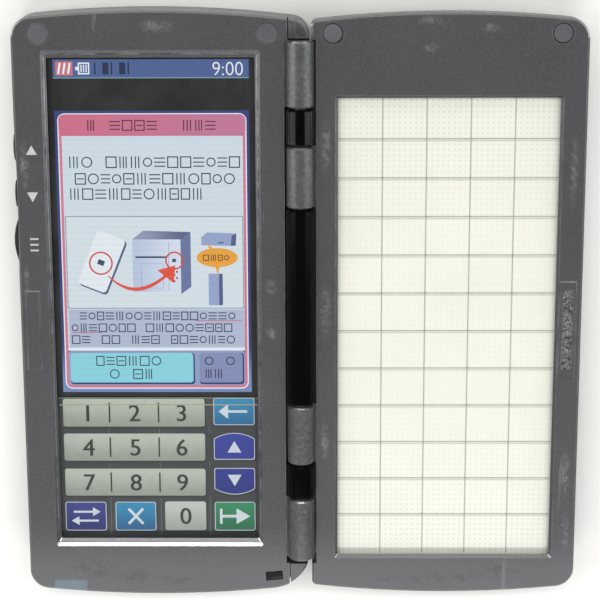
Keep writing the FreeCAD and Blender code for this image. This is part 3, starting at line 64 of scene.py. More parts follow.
class Look:
    """A node material under construction."""

    def __init__(self, name):
        self.material = bpy.data.materials.new(name)
        self.material.use_nodes = True
        self.tree = self.material.node_tree
        self.tree.nodes.clear()
        self.output = self.tree.nodes.new("ShaderNodeOutputMaterial")
        self.bsdf = self.add("ShaderNodeBsdfPrincipled")
        self.tree.links.new(self.bsdf.outputs[0], self.output.inputs["Surface"])
        where = self.add("ShaderNodeTexCoord")
        self.place = where.outputs["Object"]
        self.normal = where.outputs["Normal"]

    def add(self, kind, inputs=None, **settings):
        """A new node with its settings, and with its inputs linked or set."""
        made = self.tree.nodes.new(kind)
        for key, value in settings.items():
            setattr(made, key, value)
        for key, value in (inputs or {}).items():
            self.feed(made.inputs[key], value)
        return made

    def feed(self, socket, value):
        if isinstance(value, bpy.types.NodeSocket):
            self.tree.links.new(value, socket)
        else:
            socket.default_value = value

    def set(self, **values):
        """Feeds the Principled shader; underscores in the names stand for spaces."""
        for key, value in values.items():
            self.feed(self.bsdf.inputs[key.replace("_", " ")], value)
        return self

    def noise(self, scale, detail=3.0, roughness=0.55, distortion=0.0, stretch=None):
        where = self.place
        if stretch:
            where = self.add("ShaderNodeMapping", {"Vector": where, "Scale": stretch}).outputs[0]
        inputs = {"Vector": where, "Scale": scale, "Detail": detail}
        inputs.update({"Roughness": roughness, "Distortion": distortion})
        return self.add("ShaderNodeTexNoise", inputs).outputs[0]

    def cell_edges(self, scale):
        """The distance to the nearest edge of a Voronoi cell."""
        inputs = {"Vector": self.place, "Scale": scale}
        return self.add("ShaderNodeTexVoronoi", inputs, feature="DISTANCE_TO_EDGE").outputs[0]

    def ramp(self, value, low, high, invert=False):
        """0 below low, 1 above high, smooth between."""
        made = self.add("ShaderNodeMapRange", {0: value, 1: low, 2: high}, interpolation_type="SMOOTHSTEP")
        if invert:
            made.inputs[3].default_value = 1.0
            made.inputs[4].default_value = 0.0
        return made.outputs[0]

    def math(self, operation, a, b=0.0):
        return self.add("ShaderNodeMath", {0: a, 1: b}, operation=operation).outputs[0]

    def mix(self, amount, a, b, blend="MIX"):
        """A colour between a and b."""
        made = self.add("ShaderNodeMix", data_type="RGBA", blend_type=blend)
        self.feed(made.inputs[0], amount)
        self.feed(made.inputs[6], a)
        self.feed(made.inputs[7], b)
        return made.outputs[2]

    def blendf(self, amount, a, b):
        """A number between a and b."""
        made = self.add("ShaderNodeMix", data_type="FLOAT")
        self.feed(made.inputs[0], amount)
        self.feed(made.inputs[2], a)
        self.feed(made.inputs[3], b)
        return made.outputs[0]

    def axis(self, which):
        return self.add("ShaderNodeSeparateXYZ", {0: self.place}).outputs["XYZ".index(which)]

    def spot(self, x, y, rx, ry):
        """A soft ellipse in plan: 1 at its middle, 0 at its rim; in millimetres."""
        moved = self.vector("SUBTRACT", self.place, (x * MM, y * MM, 0)).outputs[0]
        scaled = self.vector("MULTIPLY", moved, (1 / rx / MM, 1 / ry / MM, 0)).outputs[0]
        length = self.vector("LENGTH", scaled).outputs["Value"]
        return self.ramp(length, 0.15, 1.0, invert=True)

    def vector(self, operation, first, second=(0, 0, 0)):
        return self.add("ShaderNodeVectorMath", {0: first, 1: second}, operation=operation)

    def most(self, values):
        out = values[0]
        for value in values[1:]:
            out = self.math("MAXIMUM", out, value)
        return out

    def bump(self, height, strength, distance):
        """Fine relief on the Principled shader; the distance is in millimetres."""
        inputs = {"Height": height, "Strength": strength, "Distance": distance * MM}
        self.feed(self.bsdf.inputs["Normal"], self.add("ShaderNodeBump", inputs).outputs[0])

    def edge_wear(self, radius, low, high):
        """1 along sharp edges, where the rounded normal leaves the true one."""
        soft = self.add("ShaderNodeBevel", {"Radius": radius * MM}, samples=4).outputs[0]
        true = self.add("ShaderNodeNewGeometry").outputs["Normal"]
        match = self.vector("DOT_PRODUCT", soft, true).outputs["Value"]
        return self.ramp(match, low, high, invert=True)


# Brown stains and pale scuffs of the paint: x, y and the two radii of a soft ellipse, in millimetres.
WORN = {
    "main_front_case": ((-57, -73.0, 9, 4.0), (-46, -75.5, 8, 3.2), (-34, -76, 8, 2.4)),
    "panel_front_case": ((35, -75.4, 9, 2.4), (54, -73.8, 7, 3.0), (24, -76, 6, 1.4), (45, -75.3, 7, 2.0)),
}
SCUFFED = {
    "main_front_case": (
        (-37, 76.5, 6, 2.2), (-8, 7, 2, 3), (-7.6, -5.6, 2, 3), (-72.6, 40, 1.6, 9), (-73, 9, 1, 5),
    ),
    "panel_front_case": (
        (34.5, 77.6, 5, 1.8), (49.6, 75.8, 3, 1.6), (34, 70.6, 3.5, 1.4), (6.8, 45, 1.9, 9),
        (6.6, 0.5, 1.9, 9), (6.4, -36, 1.6, 7), (71.8, 38, 1.4, 12), (71.9, -45, 1.6, 9),
        (72.4, -62, 1.6, 7),
    ),
}


def case_paint(name, node):
    """Dark metallic paint: fine grain, clouds, pale scuffs, brown stains and worn edges, with a painted
    sheen towards the lower end and painted highlights on the slopes that face up and towards +Y.
    """
    look = Look(name)
    clouds = look.noise(28, 4, 0.6)
    grain = look.noise(3400, 2, 0.6)
    fine = look.noise(1300, 3, 0.6)
    warm = look.mix(look.ramp(look.noise(60, 2), 0.4, 0.75), srgb(61, 61, 62), srgb(65, 62, 64))
    base = look.mix(look.ramp(clouds, 0.35, 0.7), warm, srgb(68, 68, 70))
    base = look.mix(look.ramp(grain, 0.35, 0.68), base, srgb(80, 80, 82))
    specks = look.ramp(look.noise(2300, 1, 0.5), 0.70, 0.8)
    base = look.mix(look.math("MULTIPLY", specks, 0.22), base, srgb(146, 146, 148))
    dirt = look.ramp(look.noise(520, 5, 0.7), 0.63, 0.75)
    base = look.mix(look.math("MULTIPLY", dirt, 0.25), base, srgb(48, 46, 48))
    rough = look.blendf(fine, 0.40, 0.50)
    if node in SCUFFED:
        scuffed = look.most([look.spot(*s) for s in SCUFFED[node]])
        break_up = look.ramp(look.noise(620, 7, 0.75, 0.4), 0.40, 0.68)
        scuffed = look.math("MULTIPLY", scuffed, break_up)
        base = look.mix(look.math("MULTIPLY", scuffed, 0.45), base, srgb(146, 148, 151))
        worn = look.most([look.spot(*s) for s in WORN[node]])
        patchy = look.ramp(look.noise(420, 7, 0.75, 0.6), 0.40, 0.62)
        worn = look.math("MULTIPLY", worn, patchy)
        base = look.mix(look.math("MULTIPLY", worn, 0.85), base, srgb(46, 38, 43))
        rough = look.blendf(scuffed, rough, 0.62)
    scratches = look.ramp(look.noise(520, 2, 0.5, 0.0, (1.0, 0.06, 1.0)), 0.70, 0.74)
    base = look.mix(look.math("MULTIPLY", scratches, 0.25), base, srgb(136, 136, 138))
    edge = look.edge_wear(0.35, 0.80, 0.985)
    bare = look.math("MULTIPLY", edge, look.ramp(look.noise(180, 4, 0.7), 0.30, 0.62))
    base = look.mix(look.math("MULTIPLY", bare, 0.6), base, srgb(196, 196, 198))
    rough = look.blendf(edge, rough, 0.26)
    # Painted sheen: the paint is lighter towards the lower end.
    painted_light = look.ramp(look.axis("Y"), -76 * MM, -58 * MM, invert=True)
    base = look.mix(look.math("MULTIPLY", painted_light, 0.26), base, srgb(128, 127, 131))
    barrel = look.ramp(look.math("ABSOLUTE", look.axis("X")), 3.55 * MM, 3.8 * MM, invert=True)
    rubbed = look.math("MULTIPLY", barrel, look.ramp(look.noise(900, 5, 0.7, 0.3), 0.35, 0.7))
    base = look.mix(look.math("MULTIPLY", rubbed, 0.35), base, srgb(120, 120, 122))
    rough = look.blendf(look.math("MULTIPLY", barrel, 0.4), rough, 0.34)
    # Painted highlight: faces that tilt up and towards +Y, where the key and gleam lamps stand, are painted
    # much lighter; they are also made smoother and more metallic, as polished wear.
    facing = look.add("ShaderNodeSeparateXYZ", {0: look.normal}).outputs
    polish_and_highlight = look.math("MULTIPLY", look.ramp(facing["Y"], 0.04, 0.12), look.ramp(facing["Z"], 0.5, 0.75))
    base = look.mix(look.math("MULTIPLY", polish_and_highlight, 0.8), base, srgb(205, 205, 207))
    rough = look.blendf(polish_and_highlight, rough, 0.2)
    metallic = look.blendf(polish_and_highlight, 0.45, 0.85)
    look.set(Base_Color=base, Roughness=rough, Metallic=metallic, Specular_IOR_Level=0.5)
    look.set(Coat_Weight=look.blendf(barrel, 0.3, 0.1), Coat_Roughness=0.16)
    look.bump(look.math("ADD", grain, look.math("MULTIPLY", fine, 0.6)), 0.18, 0.03)
    return look.material


def plastic(name, colour, other, rough, grain=900, depth=0.03, metallic=0.0):
    """Moulded plastic or metal: two tones, fine grain, dust and slightly worn edges."""
    look = Look(name)
    tone = look.mix(look.ramp(look.noise(70, 4, 0.6), 0.35, 0.68), srgb(*colour), srgb(*other))
    dust = look.ramp(look.noise(700, 5, 0.7), 0.62, 0.78)
    lighter = tuple(min(255, v + 34) for v in other)
    tone = look.mix(look.math("MULTIPLY", dust, 0.3), tone, srgb(*lighter))
    edge = look.math("MULTIPLY", look.edge_wear(0.15, 0.86, 0.99), look.ramp(look.noise(400, 3), 0.35, 0.6))
    tone = look.mix(look.math("MULTIPLY", edge, 0.4), tone, srgb(*(min(255, v + 60) for v in other)))
    smear = look.ramp(look.noise(120, 5, 0.65, 0.5), 0.3, 0.75)
    rough = look.blendf(smear, rough * 0.82, min(1, rough * 1.2))
    look.set(Base_Color=tone, Roughness=rough, Metallic=metallic)
    look.bump(look.noise(grain, 3, 0.6), 0.3, depth)
    return look.material


def gloss_black(name):
    """Piano-black hinge covers with faint smears and dust."""
    look = Look(name)
    smear = look.ramp(look.noise(90, 5, 0.65, 0.6, (1, 0.25, 1)), 0.4, 0.75)
    dust = look.ramp(look.noise(1600, 3, 0.6), 0.72, 0.80)
    tone = look.mix(look.math("MULTIPLY", dust, 0.25), srgb(5, 5, 6), srgb(60, 60, 62))
    look.set(Base_Color=tone, Roughness=look.blendf(smear, 0.14, 0.24), Specular_IOR_Level=0.14)
    look.bump(look.noise(260, 2), 0.05, 0.02)
    return look.material


def clear_film(name):
    """A touch panel: clear, with a mirror sheen, fine scratches and finger grease."""
    look = Look(name)
    grease = look.ramp(look.noise(45, 6, 0.62, 0.9), 0.42, 0.8)
    lines = look.ramp(look.noise(300, 3, 0.5, 1.5, (0.25, 1.6, 1)), 0.76, 0.79)
    dust = look.ramp(look.noise(1100, 2, 0.6), 0.76, 0.8)
    marks = look.math("MULTIPLY", look.most([lines, dust]), 0.05)
    haze = look.math("ADD", look.math("MULTIPLY", grease, 0.012), marks)
    haze = look.math("ADD", haze, 0.003)
    look.tree.nodes.remove(look.bsdf)
    clear = look.add("ShaderNodeBsdfTransparent", {"Color": (0.985, 0.988, 0.983, 1)}).outputs[0]
    dull = look.add("ShaderNodeBsdfDiffuse", {"Color": srgb(205, 208, 205)}).outputs[0]
    body = look.add("ShaderNodeMixShader", {0: haze, 1: clear, 2: dull}).outputs[0]
    rough = look.blendf(grease, 0.06, 0.11)
    relief = {"Height": look.noise(18, 2), "Strength": 0.03, "Distance": 0.1 * MM}
    wave = look.add("ShaderNodeBump", relief).outputs[0]
    mirror = {"Color": (1, 1, 1, 1), "Roughness": rough, "Normal": wave}
    sheen = look.add("ShaderNodeBsdfGlossy", mirror).outputs[0]
    share = look.math("MULTIPLY", look.add("ShaderNodeFresnel", {"IOR": 1.4}).outputs[0], 0.6)
    both = look.add("ShaderNodeMixShader", {0: share, 1: body, 2: sheen}).outputs[0]
    look.tree.links.new(both, look.output.inputs["Surface"])
    return look.material


PIXEL_ROW = 0.25
WAVES_PER_SCALE = 20


def lit(name, colour, strength=1.0, other=None, along=None):
    """A lit area of the screen: even light with faint pixel rows and a slightly uneven backlight."""
    look = Look(name)
    tone = srgb(*colour)
    if other:
        low, high, which = along
        share = look.ramp(look.axis(which), low * MM, high * MM)
        tone = look.mix(share, srgb(*colour), srgb(*other))
    rows = {"Vector": look.place, "Scale": 1 / (PIXEL_ROW * MM) / WAVES_PER_SCALE, "Distortion": 0.0}
    wave = look.add("ShaderNodeTexWave", rows, wave_type="BANDS", bands_direction="Y")
    ripple = look.blendf(look.math("MULTIPLY", wave.outputs[1], look.noise(40, 2)), 1.0, 0.93)
    grey = look.add("ShaderNodeCombineColor", {0: ripple, 1: ripple, 2: ripple}).outputs[0]
    tone = look.mix(1.0, tone, grey, "MULTIPLY")
    look.set(Base_Color=srgb(8, 8, 10), Roughness=look.blendf(look.noise(200, 3), 0.55, 0.7))
    look.set(Emission_Color=tone, Emission_Strength=strength, Specular_IOR_Level=0.2)
    return look.material


def printed(name, colour, other=None, along=None, rough=0.55):
    """Ink on a sheet: a flat or graded colour with fine ink mottle."""
    look = Look(name)
    tone = srgb(*colour)
    if other:
        low, high, which = along
        tone = look.mix(look.ramp(look.axis(which), low * MM, high * MM), srgb(*colour), srgb(*other))
    mottle = look.ramp(look.noise(520, 4, 0.65), 0.3, 0.75)
    darker = look.mix(1.0, tone, (0.86, 0.86, 0.87, 1), "MULTIPLY")
    tone = look.mix(look.math("MULTIPLY", mottle, 0.6), tone, darker)
    look.set(Base_Color=tone, Roughness=look.blendf(look.noise(300, 3), rough - 0.08, rough + 0.1))
    look.bump(look.noise(1500, 2), 0.15, 0.01)
    return look.material


def menu_paper(name):
    """The pale menu sheet: warm white, faint spacer dots of the touch panel, greyer towards its edges."""
    look = Look(name)
    x0, y0, _, x1, y1, _ = corners("menu_sheet")
    x, y = look.axis("X"), look.axis("Y")
    pitch = 1.45 * MM
    dots = []
    for value in (x, y):
        turn = look.math("MULTIPLY", value, math.tau / pitch)
        dots.append(look.math("COSINE", turn))
    dot = look.ramp(look.math("ADD", dots[0], dots[1]), 0.7, 1.6)
    reach = (y1 - y0) / 2 * MM
    middle = (y0 + y1) / 2 * MM
    off = look.math("DIVIDE", look.math("ABSOLUTE", look.math("SUBTRACT", y, middle)), reach)
    near_end = look.ramp(off, 0.35, 0.95)
    strength = look.blendf(near_end, 0.14, 0.4)
    tone = look.mix(look.ramp(look.noise(35, 4), 0.35, 0.7), srgb(243, 242, 232), srgb(239, 239, 229))
    tone = look.mix(look.math("MULTIPLY", dot, strength), tone, srgb(200, 204, 194))
    side = look.math("ABSOLUTE", look.math("SUBTRACT", x, (x0 + x1) / 2 * MM))
    shade = look.ramp(side, (x1 - x0) / 2 * MM - 2.6 * MM, (x1 - x0) / 2 * MM - 0.8 * MM)
    tone = look.mix(look.math("MULTIPLY", shade, 0.5), tone, srgb(196, 200, 196))
    look.set(Base_Color=tone, Roughness=look.blendf(look.noise(250, 3), 0.5, 0.62))
    look.bump(look.noise(700, 3), 0.1, 0.02)
    return look.material


def keypad_ground(name):
    """The dark ground of the key sheet: two greys and paler specks."""
    look = Look(name)
    tone = look.mix(look.ramp(look.noise(60, 4), 0.35, 0.7), srgb(54, 57, 58), srgb(62, 66, 67))
    specks = look.ramp(look.noise(700, 4), 0.6, 0.75)
    tone = look.mix(look.math("MULTIPLY", specks, 0.4), tone, srgb(80, 84, 85))
    look.set(Base_Color=tone, Roughness=look.blendf(look.noise(240, 3), 0.42, 0.6))
    look.bump(look.noise(900, 2), 0.1, 0.02)
    return look.material


def rough_metal(name, dark, light, rough):
    """Corroded or brushed bare metal."""
    look = Look(name)
    pits = look.ramp(look.noise(1700, 6, 0.75, 0.5), 0.36, 0.62)
    tone = look.mix(pits, srgb(*dark), srgb(*light))
    spots = look.ramp(look.noise(700, 5, 0.7, 0.5), 0.45, 0.62)
    tone = look.mix(look.math("MULTIPLY", spots, 0.7), tone, srgb(*dark))
    look.set(Base_Color=tone, Roughness=look.blendf(pits, rough + 0.15, rough), Metallic=0.9)
    look.bump(look.math("ADD", pits, look.noise(1500, 3)), 0.6, 0.08)
    return look.material


def board_green(name):
    """A circuit board: green lacquer over a web of paler traces."""
    look = Look(name)
    traces = look.ramp(look.cell_edges(700), 0.02, 0.06, invert=True)
    tone = look.mix(look.ramp(look.noise(90, 3), 0.4, 0.6), srgb(22, 74, 48), srgb(30, 90, 58))
    tone = look.mix(look.math("MULTIPLY", traces, 0.5), tone, srgb(60, 130, 84))
    look.set(Base_Color=tone, Roughness=look.blendf(look.noise(300, 3), 0.3, 0.45))
    look.bump(traces, 0.3, 0.02)
    return look.material


def see_through(name, colour, other, rough):
    """A tinted window pane that lets a little light into its surface."""
    look = Look(name)
    tone = look.mix(look.ramp(look.noise(160, 4), 0.35, 0.7), srgb(*colour), srgb(*other))
    look.set(Base_Color=tone, Roughness=look.blendf(look.noise(500, 3), rough, rough + 0.14))
    look.set(Subsurface_Weight=0.15, Subsurface_Scale=0.6 * MM)
    look.bump(look.noise(900, 3), 0.15, 0.02)
    return look.material


def dress():
    """Gives every CAD node its finish."""
    looks = {
        "gloss_black": gloss_black("gloss_black"),
        "touch_glass": clear_film("touch_glass"),
        "screen_glass": plastic("screen_glass", (8, 9, 9), (12, 13, 13), 0.45, 400, 0.01),
        "key_print": keypad_ground("key_ground"),
        "menu_print": menu_paper("menu_paper"),
        "key_black": plastic("key_black", (24, 24, 26), (34, 34, 36), 0.42, 1400),
        "light_pane": see_through("light_pane", (100, 114, 125), (92, 106, 117), 0.3),
        "dark_pane": see_through("dark_pane", (30, 12, 18), (22, 10, 14), 0.12),
        "steel": rough_metal("steel", (120, 120, 122), (170, 170, 172), 0.3),
        "shield_steel": plastic("shield_steel", (170, 172, 172), (186, 188, 188), 0.3, 500, 0.02, 0.9),
        "magnet_metal": rough_metal("magnet_metal", (40, 40, 42), (140, 140, 142), 0.42),
        "circuit_board": board_green("circuit_board"),
        "chip_black": plastic("chip_black", (26, 26, 28), (36, 36, 38), 0.55, 1800, 0.02),
        "frame_metal": plastic("frame_metal", (176, 178, 178), (156, 158, 160), 0.36, 600, 0.02, 0.85),
        "seal_foam": plastic("seal_foam", (26, 27, 28), (34, 35, 36), 0.9, 1600, 0.06),
        "battery_wrap": plastic("battery_wrap", (52, 56, 66), (60, 64, 74), 0.45, 800, 0.02),
        "contact_gold": plastic("contact_gold", (212, 172, 92), (190, 150, 74), 0.26, 700, 0.01, 1.0),
        "ribbon_film": plastic("ribbon_film", (186, 116, 44), (166, 98, 36), 0.34, 500, 0.02),
        "connector_white": plastic("connector_white", (222, 218, 206), (206, 202, 190), 0.5, 900, 0.02),
        "cap_plastic": plastic("cap_plastic", (68, 68, 72), (82, 82, 87), 0.55, 1100, 0.1),
        "lamp_white": plastic("lamp_white", (236, 238, 232), (216, 220, 214), 0.25, 700, 0.01),
    }
    for label, thing in NODES.items():
        slot = slot_of(thing)
        finish = case_paint("paint_" + label, label) if slot == "case_paint" else looks[slot]
        thing.data.materials.clear()
        thing.data.materials.append(finish)


def slot_of(thing):
    """The record's slot name on an imported node, from its material's name."""
    return thing.data.materials[0].name.split(".")[0]


# ---------------------------------------------------------------- flat print

def finish_piece(name, mesh, material, body):
    """Puts a mesh in the scene, on its body and with its material."""
    piece = bpy.data.objects.new(name, mesh)
    bpy.context.scene.collection.objects.link(piece)
    mesh.materials.append(material)
    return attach(piece, body)


def slab(name, outlines, z, thick, material, body):
    """Thin flat shapes as one piece. An outline is a list of points, or a pair of lists for a ring."""
    mesh = bpy.data.meshes.new(name)
    bm = bmesh.new()
    for outline in outlines:
        if isinstance(outline, tuple):
            add_ring(bm, *outline, z, z + thick)
        else:
            add_plate(bm, outline, z, z + thick)
    bmesh.ops.recalc_face_normals(bm, faces=bm.faces)
    bm.to_mesh(mesh)
    bm.free()
    return finish_piece(name, mesh, material, body)


def level_loop(bm, points, z):
    """The vertices of an outline at one height."""
    return [bm.verts.new((x * MM, y * MM, z * MM)) for x, y in points]


def bridge(bm, first, second):
    """A band of faces between two loops of the same count."""
    n = len(first)
    for i in range(n):
        bm.faces.new((first[i], first[(i + 1) % n], second[(i + 1) % n], second[i]))


def add_plate(bm, points, low, high):
    bottom, top = level_loop(bm, points, low), level_loop(bm, points, high)
    bm.faces.new(top)
    bm.faces.new(bottom[::-1])
    bridge(bm, bottom, top)


def add_ring(bm, outer, inner, low, high):
    loops = [level_loop(bm, outer, low), level_loop(bm, outer, high)]
    loops += [level_loop(bm, inner, high), level_loop(bm, inner, low)]
    for i in range(4):
        bridge(bm, loops[i], loops[(i + 1) % 4])


CORNER_STEPS = 5


def box2(x0, y0, x1, y1, r=0.0):
    """A rectangle with rounded corners, as points."""
    if r <= 0:
        return [(x0, y0), (x1, y0), (x1, y1), (x0, y1)]
    out = []
    centres = ((x1 - r, y0 + r, -90), (x1 - r, y1 - r, 0), (x0 + r, y1 - r, 90), (x0 + r, y0 + r, 180))
    for cx, cy, start in centres:
        for i in range(CORNER_STEPS + 1):
            a = math.radians(start + 90 * i / CORNER_STEPS)
            out.append((cx + r * math.cos(a), cy + r * math.sin(a)))
    return out


def frame2(x0, y0, x1, y1, w, r=0.0):
    """A rectangular outline of width w, as a ring."""
    return box2(x0, y0, x1, y1, r), box2(x0 + w, y0 + w, x1 - w, y1 - w, max(r - w, 0.01) if r else 0)


def oval2(cx, cy, rx, ry, n=32):
    """An ellipse as n points."""
    return [(cx + rx * math.cos(math.tau * i / n), cy + ry * math.sin(math.tau * i / n)) for i in range(n)]


def ring2(cx, cy, r, w, n=32):
    """A circle of radius r and width w, as a ring."""
    return oval2(cx, cy, r, r, n), oval2(cx, cy, r - w, r - w, n)


def line2(points, w):
    """A stroke of width w along the points, as one outline."""
    left, right = [], []
    for i, (x, y) in enumerate(points):
        a = points[max(i - 1, 0)]
        b = points[min(i + 1, len(points) - 1)]
        dx, dy = b[0] - a[0], b[1] - a[1]
        length = math.hypot(dx, dy)
        nx, ny = -dy / length * w / 2, dx / length * w / 2
        left.append((x + nx, y + ny))
        right.append((x - nx, y - ny))
    return left + right[::-1]


DIGIT_THICK = 0.012


def writing(name, text, x, y, z, height, material, slot, thin=0.0, squeeze=1.0):
    """Digits as a thin mesh, centred at x and y, with the given height of a digit."""
    curve = bpy.data.curves.new(name, "FONT")
    curve.body = text
    curve.align_x = "CENTER"
    curve.offset = -thin
    curve.extrude = 0.0
    source = bpy.data.objects.new(name + "_source", curve)
    bpy.context.scene.collection.objects.link(source)
    bpy.context.view_layer.update()
    mesh = bpy.data.meshes.new_from_object(source.evaluated_get(bpy.context.evaluated_depsgraph_get()))
    bpy.data.objects.remove(source)
    bm = bmesh.new()
    bm.from_mesh(mesh)
    low = min(v.co.y for v in bm.verts)
    high = max(v.co.y for v in bm.verts)
    left = min(v.co.x for v in bm.verts)
    right = max(v.co.x for v in bm.verts)
    scale = height / (high - low)
    for v in bm.verts:
        v.co.x = (x + (v.co.x - (left + right) / 2) * scale * squeeze) * MM
        v.co.y = (y + (v.co.y - (low + high) / 2) * scale) * MM
        v.co.z = z * MM
    bmesh.ops.remove_doubles(bm, verts=bm.verts, dist=1e-7)
    lifted = bmesh.ops.extrude_face_region(bm, geom=list(bm.faces))
    for item in lifted["geom"]:
        if isinstance(item, bmesh.types.BMVert):
            item.co.z += DIGIT_THICK * MM
    bmesh.ops.recalc_face_normals(bm, faces=bm.faces)
    bm.to_mesh(mesh)
    bm.free()
    mesh.name = name
    mesh.materials.clear()
    return finish_piece(name, mesh, material, UNIT)


SIGNS = ("square", "ring", "bars", "barred", "posts") * 3 + ("gap",)


def plain_signs(x0, x1, y, height, seed, stroke=0.27, gap=0.5):
    """A row of squares, bars and rings that stands for a line of words and spells nothing."""
    pick = random.Random(seed)
    out = []
    x = x0
    h = height / 2
    while x + height * 0.8 < x1:
        width = height * pick.choice((0.8, 0.95, 0.95))
        a, c, b, d = x, x + width, y - h, y + h
        kind = pick.choice(SIGNS)
        if kind == "square":
            out.append(frame2(a, b, c, d, stroke))
        if kind == "ring":
            out.append(ring2((a + c) / 2, y, width / 2, stroke, 16))
        if kind == "bars":
            levels = [y + s * h * 0.7 for s in (-1, 0, 1)]
            out += [box2(a, v - stroke / 2, c, v + stroke / 2) for v in levels]
        if kind == "barred":
            out.append(frame2(a, b, c, d, stroke))
            out.append(box2(a + 2 * stroke, y - stroke / 2, c - 2 * stroke, y + stroke / 2))
        if kind == "posts":
            out += [box2(a + s * width, b, a + s * width + stroke, d) for s in (0.1, 0.45, 0.75)]
        x += width + gap
    return out


class Sheet:
    """A print in thin layers on the top of a CAD node; layer 0 is the lowest."""

    def __init__(self, node, slot, gap, step, thick):
        self.x0, self.y0, _, self.x1, self.y1, self.top = corners(node)
        self.slot, self.gap, self.step, self.thick = slot, gap, step, thick

    def level(self, layer):
        return self.top + self.gap + self.step * layer

    def lay(self, name, outlines, layer, material):
        return slab(name, outlines, self.level(layer), self.thick, material, UNIT)


# ---------------------------------------------------------------- the lit screen

